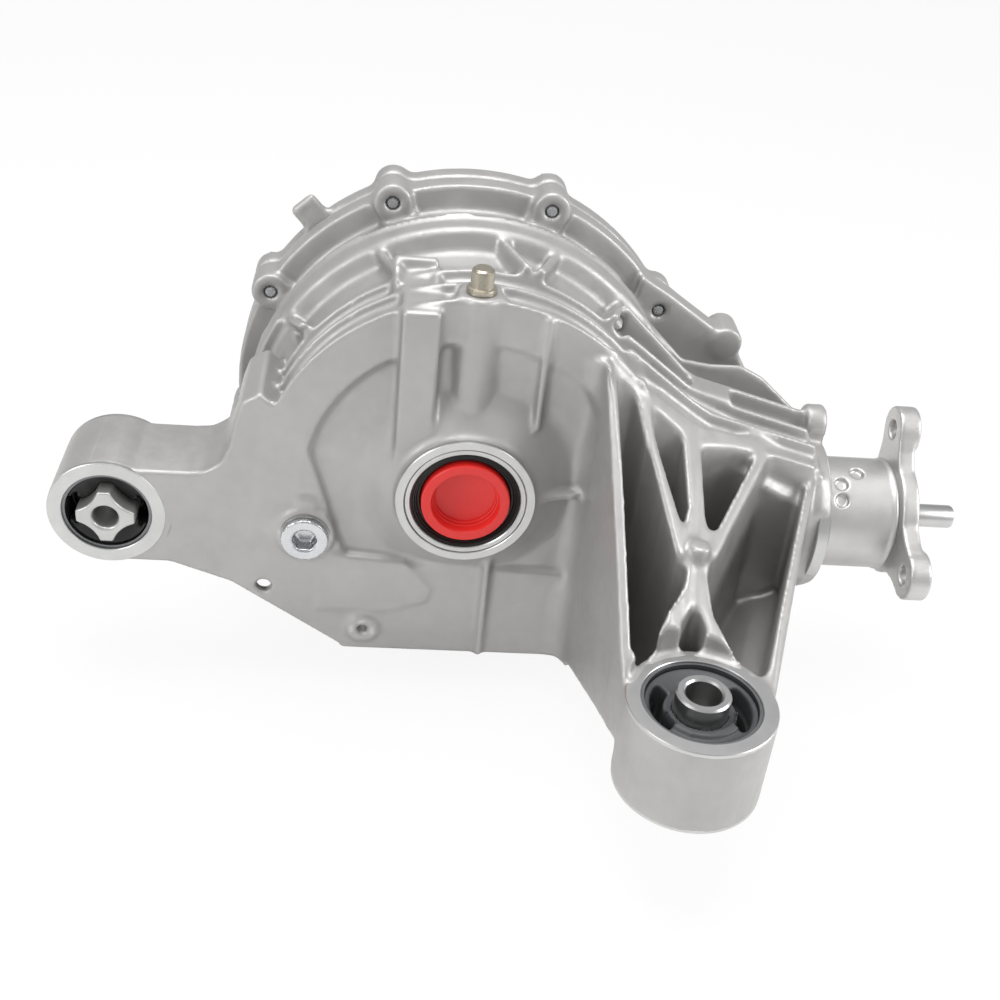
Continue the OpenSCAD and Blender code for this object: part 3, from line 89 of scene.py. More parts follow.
def distances(points, faces, cell, reach):
    """The distance field of a closed surface on cubes of a size, out to a reach, negative inside."""
    faces = np.ascontiguousarray(faces, np.uint32)
    none = np.zeros((0, 7 - faces.shape[1]), np.uint32)
    return openvdb.FloatGrid.createLevelSetFromPolygons(
        np.ascontiguousarray(points, np.float32),
        triangles=faces if faces.shape[1] == 3 else none,
        quads=faces if faces.shape[1] == 4 else none,
        transform=openvdb.createLinearTransform(voxelSize=cell),
        halfWidth=reach / cell + 3.0,
    )


def sampled(points, faces, cell, x, y, z):
    """The distances to a closed surface at the middles of the cubes, as one array."""
    values = np.empty((x.size, y.size, z.size), np.float32)
    first = [int(round(float(axis.ravel()[0]) / cell)) for axis in (x, y, z)]
    distances(points, faces, cell, 3 * cell).copyToArray(values, ijk=first)
    return values


def outline(corners, u, v):
    """Distance in a plane to the nearest side of a closed outline. It is negative inside, where a line to
    the right crosses an odd number of sides."""
    nearest = np.full(np.broadcast(u, v).shape, 1e6, np.float32)
    inside = np.zeros(nearest.shape, bool)
    for (ua, va), (ub, vb) in zip(corners, corners[1:] + corners[:1]):
        length_squared = (ub - ua) ** 2 + (vb - va) ** 2
        along = np.clip(((u - ua) * (ub - ua) + (v - va) * (vb - va)) / length_squared, 0, 1)
        nearest = np.minimum(nearest, np.hypot(u - ua - along * (ub - ua), v - va - along * (vb - va)))
        if va != vb:
            inside ^= ((va > v) != (vb > v)) & (u < ua + (v - va) * (ub - ua) / (vb - va))
    return np.where(inside, -nearest, nearest)


def between(t, low, high):
    """Distance outside a layer between two levels, negative within it."""
    return np.maximum(low - t, t - high)


def overlap(*fields):
    """The field of what several shapes share."""
    shared = fields[0]
    for field in fields[1:]:
        shared = np.maximum(shared, field)
    return shared


def rounded_overlap(a, b, radius):
    """What two shapes share, with a radius in the corners where their borders meet."""
    corner = np.hypot(np.maximum(a + radius, 0), np.maximum(b + radius, 0))
    return np.minimum(np.maximum(a, b), -radius) + corner


def join(part, *fields):
    """Adds what the shapes share to a part of a field, in place."""
    np.minimum(part, overlap(*fields), out=part)


def carve(part, *fields):
    """Takes what the shapes share out of a part of a field, in place."""
    np.maximum(part, -overlap(*fields), out=part)


def window(field, x, y, z, low, high):
    """The part of a field between two corners, with the places of its cubes."""
    cut = [slice(*np.searchsorted(axis.ravel(), (low[k], high[k]))) for k, axis in enumerate((x, y, z))]
    return field[tuple(cut)], x[cut[0]], y[:, cut[1]], z[:, :, cut[2]]


def new_piece(name, points, *faces, smooth=30.0):
    """A mesh object from points in metres and arrays of faces. Edges sharper than the angle stay crisp."""
    mesh = bpy.data.meshes.new(name)
    corners = np.concatenate([f.ravel() for f in faces]).astype(np.int32)
    counts = np.concatenate([np.full(len(f), f.shape[1]) for f in faces])
    starts = np.concatenate([[0], np.cumsum(counts)[:-1]]).astype(np.int32)
    mesh.vertices.add(len(points))
    mesh.vertices.foreach_set("co", np.ascontiguousarray(points, np.float32).ravel())
    mesh.loops.add(len(corners))
    mesh.loops.foreach_set("vertex_index", corners)
    mesh.polygons.add(len(counts))
    mesh.polygons.foreach_set("loop_start", starts)
    mesh.polygons.foreach_set("use_smooth", np.ones(len(counts), bool))
    mesh.update(calc_edges=True)
    mesh.validate()
    mesh.set_sharp_from_angle(angle=math.radians(smooth))
    obj = bpy.data.objects.new(name, mesh)
    bpy.context.scene.collection.objects.link(obj)
    return obj


def formed(name, node, lids, shape, cell, fillet, edge, most):
    """A piece worked out from a CAD node. The node's distance field is sampled on cubes, and a shape
    function joins and cuts finer forms in it. The surface at zero is grown by the fillet, shrunk by fillet
    and edge and grown by the edge, which rounds the corners and edges, and is then thinned to at most so
    many triangles."""
    points, faces = triangles_of(node)
    low = np.floor((points.min(0) - 4 * cell - fillet) / cell)
    high = np.ceil((points.max(0) + 4 * cell + fillet) / cell)
    for plate in lids:
        more, fan = lid(*plate)
        faces = np.r_[faces, fan + len(points)]
        points = np.r_[points, more]
    x, y, z = (np.arange(low[k], high[k] + 1) * cell for k in range(3))
    x, y, z = x[:, None, None], y[None, :, None], z[None, None, :]
    field = sampled(points, faces, cell, x, y, z)
    shape(field, x, y, z)
    grid = openvdb.FloatGrid(4.0 * cell)
    grid.copyFromArray(np.clip(field, -4 * cell, 4 * cell).astype(np.float32), ijk=[int(v) for v in low])
    grid.transform = openvdb.createLinearTransform(voxelSize=cell)
    points, faces = grid.convertToQuads(isovalue=0.0)
    for distance in (fillet, -(fillet + edge), edge):
        points, faces = distances(points, faces, cell, abs(distance)).convertToQuads(isovalue=distance)
    faces = np.r_[faces[:, [0, 1, 2]], faces[:, [0, 2, 3]]]
    a, b, c = (points[faces[:, k]].astype(float) for k in range(3))
    if np.einsum("ij,ij->i", a, np.cross(b, c)).sum() < 0:
        faces = faces[:, ::-1]
    obj = new_piece(name, points * mm, faces, smooth=60.0)
    thin = obj.modifiers.new("thin", "DECIMATE")
    thin.ratio = min(1.0, most / len(faces))
    graph = bpy.context.evaluated_depsgraph_get()
    mesh = bpy.data.meshes.new_from_object(obj.evaluated_get(graph))
    obj.modifiers.clear()
    obj.data = mesh
    mesh.name = name
    mesh.materials.clear()
    return obj


def drum_details(field, x, y, z):
    """Channel, land, slots and slanted ribs of the drum, the flare of the output boss, the slope and the
    level rib beside it, the lips of the column, and the lug above the fill plug."""
    part, px, py, pz = window(field, x, y, z, (-128, 60, 20), (128, 124, 130))
    radius = np.hypot(px, pz)
    turn = np.degrees(np.arctan2(pz, px))
    arc = 1.9  # millimetres for each degree, at a radius of about 109 mm
    channel = [(65.5, 108.4), (80.5, 111.4), (84, 122), (87, 124.2), (97, 124.2), (97, 140), (65.5, 140)]
    land = [(70, 100), (80.5, 110.5), (84, 122), (87, 124), (105, 124), (114, 119.5), (121, 119.5),
            (121, 100)]
    carve(part, outline(channel, py, radius), arc * between(turn, 36, 150))
    join(part, outline(land, py, radius))
    for start, end in ((98, 121), (57, 91.5), (22, 48), (131, 158)):
        carve(part, 118 - radius, 2 * between(turn, start, end), between(py, 101, 108))
    slanted_ribs = ((118, 111, 4.5), (85, 77, 5), (67, 74, 5), (44, 50, 4.5), (150, 141, 4.5))
    for at_land, at_fin, thick in slanted_ribs:
        middle = math.radians((at_land + at_fin) / 2)
        lean = math.radians((at_land - at_fin) / 2) * 114
        spot = 112 * math.cos(middle), 112 * math.sin(middle)
        low = spot[0] - 26, 50, spot[1] - 26
        high = spot[0] + 26, 93, spot[1] + 26
        part, px, py, pz = window(field, x, y, z, low, high)
        out = px * math.cos(middle) + pz * math.sin(middle)
        across = pz * math.cos(middle) - px * math.sin(middle)
        sides = [(-lean - thick / 2, 53), (-lean + thick / 2, 53),
                 (lean + thick / 2, 90), (lean - thick / 2, 90)]
        join(part, between(out, 104, 120.6), outline(sides, across, py))
    part, px, py, pz = window(field, x, y, z, (-66, 0, -66), (66, 26, 66))
    flare = [(3, 36), (5, 38.3), (7, 41.3), (15, 52.3), (20, 62.3), (24, 62.3), (24, 36)]
    join(part, outline(flare, py, np.hypot(px, pz)))
    part, px, py, pz = window(field, x, y, z, (-10, 10, 10), (116, 26, 112))
    turn = np.degrees(np.arctan2(pz, px))
    slope = [(20, 55), (15, 104), (22, 108), (24, 60)]
    join(part, outline(slope, py, np.hypot(px, pz)), arc * between(turn, 22, 86))
    part, px, py, pz = window(field, x, y, z, (30, 0, -8), (72, 26, 8))
    level_rib = [(37, 4.5), (52, 8.5), (65, 13), (65, 22), (37, 22)]
    join(part, outline(level_rib, px, py), between(pz, -2, 1.6))
    for start in (-45, -23.4):
        part, px, py, pz = window(field, x, y, z, (start - 5, 38, 85), (start + 8, 66, 115))
        join(part, between(px, start, start + 2.4), between(py, 42, 62), between(pz, 90, 111))
    part, px, py, pz = window(field, x, y, z, (-100, 8, -32), (-74, 26, -6))
    join(part, between(px, -92, -82), between(py, 13, 21), between(pz, -25, -12))


def joint_necks(field, x, y, z):
    """Blocks under the nine bolt bosses, turned about the output axis in equal steps, with their holes."""
    for k in range(9):
        turn = math.radians(31 + 40 * k)
        spot = 120 * math.cos(turn), 120 * math.sin(turn)
        low = spot[0] - 24, 110, spot[1] - 24
        high = spot[0] + 24, 136, spot[1] + 24
        part, px, py, pz = window(field, x, y, z, low, high)
        out = px * math.cos(turn) + pz * math.sin(turn)
        across = pz * math.cos(turn) - px * math.sin(turn)
        join(part, between(out, 107, 132), between(across, -10, 10), between(py, 115.5, 130.5))
        carve(part, np.hypot(out - 132, across) - 4.3, between(py, 110, 131))


pinion_y, pinion_z = 60, -32


def nose_details(field, x, y, z):
    """The nose as a curved cone about the pinion axis, with a raised deck, four ribs in line with the
    drum's fins, a flat block, and an ear at its end."""
    part, px, py, pz = window(field, x, y, z, (84, 14, -80), (206, 132, 110))
    drum = np.hypot(px, pz)
    clear_of_drum = np.where(py < 80, 115.5, 126.5) - drum
    carve(part, between(px, 97, 204), between(py, 19.8, 110.5), -75 - pz, clear_of_drum)
    about_pinion = np.hypot(py - pinion_y, pz - pinion_z)
    nose = [(84, 0), (84, 98), (130, 74), (175, 54), (198, 46.5), (205, 44.5), (205, 34.5), (196, 34.5),
            (196, 0)]
    join(part, outline(nose, px, about_pinion), between(py, 20.3, 130))
    deck = [(96, -20), (96, 52), (102, 58), (124, 42.5), (135, 35.5), (167, 27), (199, 18.5), (199, -20)]
    join(part, outline(deck, px, pz), between(py, 26, 90))
    tops = {
        36.8: [(78, 81.4), (100, 69), (124, 51), (136, 43.5), (167, 35), (200, 26)],
        53.0: [(80, 82), (100, 70), (127, 49.5), (150, 40.5), (199, 27)],
        69.0: [(80, 92), (125, 53), (131, 49), (153, 43), (198, 30.5)],
        86.0: [(80, 92), (126, 51), (143, 48.5), (162, 48.8), (176, 42), (198, 23)],
    }
    for start, top in tops.items():
        rib = [(84, 0)] + [(max(u, 84), v) for u, v in top] + [(205.2, 11), (205.2, -20)]
        join(part, outline(rib, px, pz), between(py, start, start + 3.8))
    block = [(127, 50.5), (131, 48.8), (151, 43), (151, 20), (127, 20)]
    join(part, outline(block, px, pz), between(py, 55, 70.5))
    part, px, py, pz = window(field, x, y, z, (196, 56, 6), (216, 88, 38))
    join(part, between(px, 201, 213), np.hypot(py - 72, pz - 22) - 11)


def ruled_block(back, front, top, low):
    """A closed block between two borders in plan: one row of points at the top and one at the low height of
    each border, joined all round. Past the front border it goes on straight, to the reach."""
    reach = 1.15  # of the way from the back border to the front one
    plan = [back, front + (front - back) * (reach - 1)]
    heights = [(a[0], a[0] + reach * (a[1] - a[0])) for a in (top, low)]
    rows = [np.c_[plan[0], heights[0][0]], np.c_[plan[1], heights[0][1]],
            np.c_[plan[1], heights[1][1]], np.c_[plan[0], heights[1][0]]]
    n = len(back)
    i = np.arange(n - 1)
    sides = [np.c_[k * n + i, k * n + i + 1, (k + 1) % 4 * n + i + 1, (k + 1) % 4 * n + i] for k in range(4)]
    ends = np.array([[3 * n, 2 * n, n, 0], [n - 1, 2 * n - 1, 3 * n - 1, 4 * n - 1]])
    return np.concatenate(rows), np.concatenate(sides + [ends])


mount_x, mount_y = 114, -125


def bracket_details(field, x, y, z):
    """The front bracket: a block with a ruled top, sunk to a floor between ribs that widen at knots."""
    part, px, py, pz = window(field, x, y, z, (50, -130, -124), (214, 50, 100))
    back = np.array([[67, 18, 91], [91, 20, 70], [120, 24, 48.4], [128, 26, 42.6], [165, 34, 32],
                     [189, 42, 21.7], [206, 46, 12]], float)
    share = (back[:, 0] - 67) / 139  # of the way along the back border, which runs by the drum and the nose
    front = np.c_[75.5 + 82 * share, -104 + 0 * share, -18 - 10 * share]
    low = np.array([-117.4 + share * 45.4, -66 + 0 * share])
    top = np.array([back[:, 2], front[:, 2]])
    level = np.full_like(top, 120)
    cell = float(px[1, 0, 0] - px[0, 0, 0])
    plan = back[:, :2], front[:, :2]
    block = sampled(*ruled_block(*plan, top, low), cell, px, py, pz)
    above_floor = sampled(*ruled_block(*plan, level, low + 6), cell, px, py, pz)
    mount = np.hypot(px - mount_x, py - mount_y)
    housing = overlap(mount - 38.2, pz + 26)
    before_drum = py - np.where(np.hypot(px, pz) < 115.5, 14.8, 19.8)
    carve(part, above_floor, before_drum, -housing)

    field_plan = [(73, 12), (124, 13), (146, 21), (168, 26), (196, 38.5), (197, 30), (152.5, -101),
                  (140, -110), (82, -110), (80, -101)]
    # Each rib: its two ends in plan and its width at each end.
    ribs = [
        ((88.5, 20), (94.5, -8), 9, 4.5),
        ((94.5, -6), (112, -50), 4.5, 9),
        ((121, 20), (121, -34), 11, 8),
        ((172, 36), (128, -44), 5, 4.5),
        ((120, -28), (118, -68), 10, 11),
        ((120, -48), (133, -34), 12, 4),
        ((118.5, -62), (124.5, -84), 8, 4),
        ((124.5, -82), (139, -104), 4, 4.5),
        ((116, -64), (90, -106), 7, 4.5),
    ]
    pockets = rounded_overlap(outline(field_plan, px, py), 37.4 - mount, 3)
    for (xa, ya), (xb, yb), wide_a, wide_b in ribs:
        run = math.hypot(xb - xa, yb - ya)
        side = (ya - yb) / run / 2, (xb - xa) / run / 2
        rib = [
            (xa + side[0] * wide_a, ya + side[1] * wide_a),
            (xa - side[0] * wide_a, ya - side[1] * wide_a),
            (xb - side[0] * wide_b, yb - side[1] * wide_b),
            (xb + side[0] * wide_b, yb + side[1] * wide_b),
        ]
        pockets = rounded_overlap(pockets, -outline(rib, px, py), 3.5)
    edge_loss = 0.8  # what a rib loses on each side when its edges are rounded
    block = overlap(block, -overlap(pockets + edge_loss, above_floor), -overlap(mount - 37.7, -28 - pz))
    np.minimum(part, block, out=part)
    join(part, np.hypot(px - 120, py + 48) - 5.6, between(pz, -80, 12.8))
    carve(part, mount - 30, between(pz, -79, -25))

    # Wide hollow blend from the drum's face, or from the floor of its dish, to the bracket's left wall.
    blend = 14
    base = np.clip(20 - (np.hypot(px, pz) - 84.6), 15, 20)
    hollow = blend - np.hypot(px - (68 - blend), py - (base - blend))
    join(part, hollow, between(px, 68 - blend, 70), between(py, base - blend, 21.5), between(pz, -116, 86))


def case_details(field, x, y, z):
    """All forms that the case's mould adds to the CAD solid."""
    drum_details(field, x, y, z)
    nose_details(field, x, y, z)
    bracket_details(field, x, y, z)
    joint_necks(field, x, y, z)


def linear(hex_colour):
    """A colour written as sRGB hex, turned to the linear numbers of a shader."""
    values = [int(hex_colour[k:k + 2], 16) / 255 for k in (1, 3, 5)]
    return [v / 12.92 if v <= 0.04045 else ((v + 0.055) / 1.055) ** 2.4 for v in values] + [1.0]


def add(tree, kind, inputs=(), **settings):
    """Adds one node with its settings, and sets each named input to a value or links it to an output."""
    made = tree.nodes.new(kind)
    for key, value in settings.items():
        setattr(made, key, value)
    for key, value in dict(inputs).items():
        if isinstance(value, bpy.types.NodeSocket):
            tree.links.new(value, made.inputs[key])
        else:
            made.inputs[key].default_value = value
    return made


def surface(name, metallic, roughness):
    """A new material with its tree, its shader and the Object coordinates in metres."""
    material = bpy.data.materials.new(name)
    material.use_nodes = True
    tree = material.node_tree
    shader = tree.nodes["Principled BSDF"]
    shader.inputs["Metallic"].default_value = metallic
    shader.inputs["Roughness"].default_value = roughness
    where = add(tree, "ShaderNodeTexCoord").outputs["Object"]
    return material, tree, shader, where


def place(obj, material, body, slot, *nodes):
    """Gives a piece its material and its body, and lets it stand for CAD nodes. The slot is not used."""
    obj.data.materials.append(material)
    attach(obj, body)
    if nodes:
        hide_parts(*nodes)


# Bead-blasted cast aluminium: a fine even grain that scatters light softly and broad faint clouds from the
# casting skin. The edges are painted brighter as a highlight, and the hollows are painted darker as shade.
# The
# 0.3 mm grain is drawn at 0.8 mm, so that it shows.
cast_aluminium, tree, shader, spot = surface("bead_blasted_cast_aluminium", 0.62, 0.5)
grain = add(tree, "ShaderNodeTexNoise", {"Vector": spot, "Scale": 1 / (0.8 * mm), "Detail": 2.0})
cloud = add(tree, "ShaderNodeTexNoise", {"Vector": spot, "Scale": 1 / (38 * mm), "Detail": 4.0})
blotch = add(tree, "ShaderNodeTexNoise", {"Vector": spot, "Scale": 1 / (7 * mm), "Detail": 3.0})
bend = add(tree, "ShaderNodeNewGeometry").outputs["Pointiness"]
# Painted highlight: the convex edges, found by their pointiness, are marked for a pale grey.
edges = add(tree, "ShaderNodeMapRange", {"Value": bend, "From Min": 0.51, "From Max": 0.66, "To Max": 0.45})
tone = add(tree, "ShaderNodeMix", {0: cloud.outputs["Fac"], 6: linear("#9f9e9d"), 7: linear("#b4b3b1")},
           data_type="RGBA")
# Painted shade: the concave hollows, found by their low pointiness, are darkened towards a dark grey.
hollow_shade_mask = add(tree, "ShaderNodeMapRange", {"Value": bend, "From Min": 0.4, "From Max": 0.49,
                                           "To Min": 0.55, "To Max": 0.0})
painted_hollow_shade = add(tree, "ShaderNodeMix", {0: hollow_shade_mask.outputs["Result"], 6: tone.outputs[2], 7: linear("#6c6a68")},
             data_type="RGBA")
# Painted highlight: a pale grey laid over the colour along the convex edges.
painted_edge_highlight = add(tree, "ShaderNodeMix", {0: edges.outputs["Result"], 6: painted_hollow_shade.outputs[2], 7: linear("#dfdedc")},
           data_type="RGBA")
tree.links.new(painted_edge_highlight.outputs[2], shader.inputs["Base Color"])
polish = add(tree, "ShaderNodeMapRange", {"Value": blotch.outputs["Fac"], "From Min": 0.3, "From Max": 0.7,
                                          "To Min": 0.42, "To Max": 0.54})
tree.links.new(polish.outputs["Result"], shader.inputs["Roughness"])
fine = add(tree, "ShaderNodeBump", {"Height": grain.outputs["Fac"], "Strength": 0.25, "Distance": 0.12 * mm})
broad = add(tree, "ShaderNodeBump", {"Height": blotch.outputs["Fac"], "Strength": 0.3, "Distance": 0.25 * mm,
                                     "Normal": fine.outputs["Normal"]})
tree.links.new(broad.outputs["Normal"], shader.inputs["Normal"])

# Plates that close the case's openings while it is sampled: centre, number of the axis, radius, thickness.
case_lids = [
    ((0, 13, 0), 1, 33, 3),
    ((0, 134, 0), 1, 104, 2),
    ((198, pinion_y, pinion_z), 0, 36, 3),
    ((-87, 16, -35), 1, 12.5, 3),
    ((-20, 68, -115), 2, 12.5, 3),
    ((0, 24, 102), 2, 6, 4),
    ((-52.7, 26, -101), 1, 5, 3),
]
case_casting = formed("case_casting", "main_case", case_lids, case_details, 1.2, 2.2, 0.6, 197000)
place(case_casting, cast_aluminium, "housing", "cast_aluminium", "main_case")


# Turned faces of the case: the output boss, both ends of the rear eye and of the front mount's housing, and
# the end of the pinion nose. Being cut after blasting, they are brighter and show fine circular marks.
def turned(name, profiles, steps=144, smooth=30.0):
    """Rings of points about an axis: each profile is a list of radius and height, carried round its axis.
    One that begins and ends at radius zero is closed there with fans, any other is joined end to end."""
    all_points, all_faces, all_radii = [], [], []
    base = 0
    turn = np.linspace(0, 2 * np.pi, steps, endpoint=False)
    for centre, axis, profile in profiles:
        shape = np.array(profile, float)
        ends_on_axis = shape[0, 0] == 0 and shape[-1, 0] == 0
        body = shape[1:-1] if ends_on_axis else shape
        direction = np.array(axis, float)
        helper = np.array([0.0, 0.0, 1.0]) if abs(direction[2]) < 0.5 else np.array([1.0, 0.0, 0.0])
        side = np.cross(helper, direction)
        side /= np.linalg.norm(side)
        up = np.cross(direction, side)
        rim = np.cos(turn)[:, None] * side + np.sin(turn)[:, None] * up
        points = body[:, None, :1] * rim + body[:, None, 1:] * direction
        rows = len(body)
        j = np.arange(steps)
        k = np.roll(j, -1)
        i = np.arange(rows - 1 if ends_on_axis else rows)[:, None]
        n = (i + 1) % rows
        quads = np.stack([i * steps + j, i * steps + k, n * steps + k, n * steps + j], -1).reshape(-1, 4)
        points = points.reshape(-1, 3)
        radii = np.repeat(body[:, 0], steps)
        if ends_on_axis:
            points = np.r_[points, [shape[0, 1] * direction], [shape[-1, 1] * direction]]
            radii = np.r_[radii, 0, 0]
            first, last = rows * steps, rows * steps + 1
            fans = np.r_[np.c_[k, j, j * 0 + first],
                         np.c_[(rows - 1) * steps + j, (rows - 1) * steps + k, j * 0 + last]]
            all_faces.append(fans + base)
        all_faces.append(quads + base)
        all_points.append(points + centre)
        all_radii.append(radii)
        base += len(points)
    points = np.concatenate(all_points) * mm
    triangles = [f for f in all_faces if f.shape[1] == 3]
    quads = [f for f in all_faces if f.shape[1] == 4]
    faces = [np.concatenate(group) for group in (triangles, quads) if group]
    volume = 0.0
    for group in faces:
        for t in ([0, 1, 2],) if group.shape[1] == 3 else ([0, 1, 2], [0, 2, 3]):
            a, b, c = (points[group[:, q]] for q in t)
            volume += np.einsum("ij,ij->i", a - points[0], np.cross(b - points[0], c - points[0])).sum()
    if volume < 0:
        faces = [group[:, ::-1] for group in faces]
    obj = new_piece(name, points, *faces, smooth=smooth)
    mark = obj.data.attributes.new("radius", "FLOAT", "POINT")
    mark.data.foreach_set("value", np.concatenate(all_radii).astype(np.float32) * mm)
    return obj


def ring_profile(inner, outer, low, high, cut=0.4):
    """A flat ring's section with its four corners cut."""
    return [(inner, low + cut), (inner + cut, low), (outer - cut, low), (outer, low + cut),
            (outer, high - cut), (outer - cut, high), (inner + cut, high), (inner, high - cut)]


# Turned metal: bright, with the tool's circular marks. The real ones are finer, and are drawn about 0.5 mm
# apart so that they show.
def turned_metal(name, dark, light, low, high):
    """Metal whose roughness and bump follow the distance from the lathe's axis, with faint stains. Its
    roughness goes from low to high."""
    marks_per_mm = 2.2
    material, tree, shader, spot = surface(name, 1.0, low)
    radius = add(tree, "ShaderNodeAttribute", attribute_name="radius")
    pitch = add(tree, "ShaderNodeMath", {0: radius.outputs["Fac"], 1: marks_per_mm / mm},
                operation="MULTIPLY")
    marks = add(tree, "ShaderNodeTexNoise", {"W": pitch.outputs[0], "Scale": 1.0, "Detail": 3.0},
                noise_dimensions="1D")
    stain = add(tree, "ShaderNodeTexNoise", {"Vector": spot, "Scale": 1 / (11 * mm), "Detail": 4.0})
    tone = add(tree, "ShaderNodeMix", {0: stain.outputs["Fac"], 6: linear(dark), 7: linear(light)},
               data_type="RGBA")
    tree.links.new(tone.outputs[2], shader.inputs["Base Color"])
    polish = add(tree, "ShaderNodeMapRange", {"Value": marks.outputs["Fac"], "To Min": low, "To Max": high})
    tree.links.new(polish.outputs["Result"], shader.inputs["Roughness"])
    cuts = add(tree, "ShaderNodeBump", {"Height": marks.outputs["Fac"], "Strength": 0.2,
                                        "Distance": 0.1 * mm})
    tree.links.new(cuts.outputs["Normal"], shader.inputs["Normal"])
    return material


rear_x, rear_z = -196, -28.4
turned_aluminium = turned_metal("turned_aluminium", "#b4b4b3", "#c9c9c8", 0.3, 0.44)
case_faces = turned("case_turned_faces", [
    ((0, 0, 0), (0, 1, 0), ring_profile(33.45, 38.3, -0.1, 7)),
    ((rear_x, 0, rear_z), (0, 1, 0), ring_profile(24.45, 32.3, 14.9, 18)),
    ((rear_x, 0, rear_z), (0, 1, 0), ring_profile(24.45, 32.3, 66, 69.1)),
    ((mount_x, mount_y, 0), (0, 0, 1), ring_profile(30.05, 37.8, -29, -25.9)),
    ((mount_x, mount_y, 0), (0, 0, 1), ring_profile(30.05, 37.8, -78.1, -75)),
    ((0, pinion_y, pinion_z), (1, 0, 0), ring_profile(34.05, 44.6, 206, 213.1)),
])
place(case_faces, turned_aluminium, "housing", "cast_aluminium")


# Side cover: a second casting of the same alloy and finish, bolted to the case. It closes the gear chamber
# and holds the far output bore. Its locating lug is a short flat tab on the rim.
def cover_lug(field, x, y, z):
    """Takes the CAD lug off the rim and sets a short flat tab a few degrees on, with a round dimple."""
    old_lug = carve, 129, (135.6, 159), 10.6, (134, 143)
    new_tab = join, 132, (130, 150), 8.6, (136, 142)
    for change, degrees, reach, half_width, thickness in (old_lug, new_tab):
        turn = math.radians(degrees)
        out = x * math.cos(turn) + z * math.sin(turn)
        across = z * math.cos(turn) - x * math.sin(turn)
        change(field, between(out, *reach), between(across, -half_width, half_width), between(y, *thickness))
    carve(field, np.hypot(out - 144, across) - 1.5, y - 138)


cover_casting = formed("cover_casting", "side_cover", [((0, 138, 0), 1, 104, 2), ((0, 177, 0), 1, 33, 3)],
                       cover_lug, 1.6, 2.0, 0.6, 90000)
place(cover_casting, cast_aluminium, "housing", "cast_aluminium", "side_cover")
cover_faces = turned("cover_turned_faces", [((0, 0, 0), (0, 1, 0), ring_profile(33.45, 38.3, 183, 190.1))])
place(cover_faces, turned_aluminium, "housing", "cast_aluminium")


# Joint sealant: grey silicone laid on as a bead before the cover is bolted down. What shows is the thin
# line that was pressed out between case and cover and has cured there.
def finish(name, dark, light, metallic, rough, grain, height):
    """A material whose colour drifts between two tones, with a grain in roughness and bump. The real grain
    of these finishes is under 0.1 mm, and is drawn at 0.5 to 1.5 mm so that it shows."""
    material, tree, shader, spot = surface(name, metallic, rough[0])
    drift = add(tree, "ShaderNodeTexNoise", {"Vector": spot, "Scale": 1 / (14 * mm), "Detail": 4.0})
    speck = add(tree, "ShaderNodeTexNoise", {"Vector": spot, "Scale": 1 / (grain * mm), "Detail": 2.0})
    tone = add(tree, "ShaderNodeMix", {0: drift.outputs["Fac"], 6: linear(dark), 7: linear(light)},
               data_type="RGBA")
    tree.links.new(tone.outputs[2], shader.inputs["Base Color"])
    sheen = add(tree, "ShaderNodeMapRange", {"Value": speck.outputs["Fac"], "From Min": 0.3, "From Max": 0.7,
                                             "To Min": rough[0], "To Max": rough[1]})
    tree.links.new(sheen.outputs["Result"], shader.inputs["Roughness"])
    relief = add(tree, "ShaderNodeBump", {"Height": speck.outputs["Fac"], "Strength": 0.4,
                                          "Distance": height * mm})
    tree.links.new(relief.outputs["Normal"], shader.inputs["Normal"])
    return material


def dress(material, *names):
    """Gives carried-over CAD nodes a material in the slots that they have."""
    for name in names:
        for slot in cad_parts[name].material_slots:
            slot.material = material


# Cured silicone: dull dark grey with a faint sheen.
silicone = finish("cured_grey_silicone", "#3c3d3f", "#4d4e50", 0.0, (0.45, 0.6), 1.2, 0.1)
dress(silicone, "joint_sealant")


# Joint bolts, fill plug and drain plug: zinc-plated steel. The plugs are turned from bar, with a rounded
# rim and a lead-in to the hexagon socket, and are screwed down on soft aluminium washers.
# Bright zinc plating: a pale bluish metal with a soft shine.
zinc = finish("bright_zinc_plating", "#b9bbbe", "#cdced0", 1.0, (0.22, 0.34), 0.9, 0.05)
dress(zinc, "cover_bolts")
# Soft aluminium: a little darker and duller than the zinc beside it.
washer_aluminium = finish("soft_aluminium_washer", "#a8a8a6", "#bcbcba", 1.0, (0.3, 0.42), 0.8, 0.05)
dress(washer_aluminium, "fill_plug_washer", "drain_plug_washer")


def fill_socket_lead(field, x, y, z):
    """A shallow cone at the mouth of the fill plug's socket."""
    carve(field, np.hypot(x + 87, z + 35) - 7.6 + 1.2 * (y - 6.4), y - 8)


def drain_socket_lead(field, x, y, z):
    """The same cone in the drain plug, which faces down."""
    carve(field, np.hypot(x + 20, y - 68) - 7.6 + 1.2 * (z + 122.6), z + 121)


place(formed("fill_plug_body", "fill_plug", [], fill_socket_lead, 0.5, 0.4, 0.7, 16000), zinc,
      "housing", "zinc_steel", "fill_plug")
place(formed("drain_plug_body", "drain_plug", [], drain_socket_lead, 0.5, 0.4, 0.7, 12000), zinc,
      "housing", "zinc_steel", "drain_plug")


# Dowel pins and taper roller bearings: hardened steel, ground to size. The cups are pressed into case and
# cover, and the cones on the pinion and the carrier.
# Ground bearing steel: the smoothest metal here, with sharp reflections.
ground_steel = finish("ground_bearing_steel", "#a9aaae", "#bdbec2", 1.0, (0.14, 0.22), 0.5, 0.02)
dress(ground_steel, "dowel_pins")
for bearing in ("head", "tail", "near", "far"):
    dress(ground_steel, bearing + "_bearing_cup", bearing + "_bearing_cone", bearing + "_bearing_rollers")


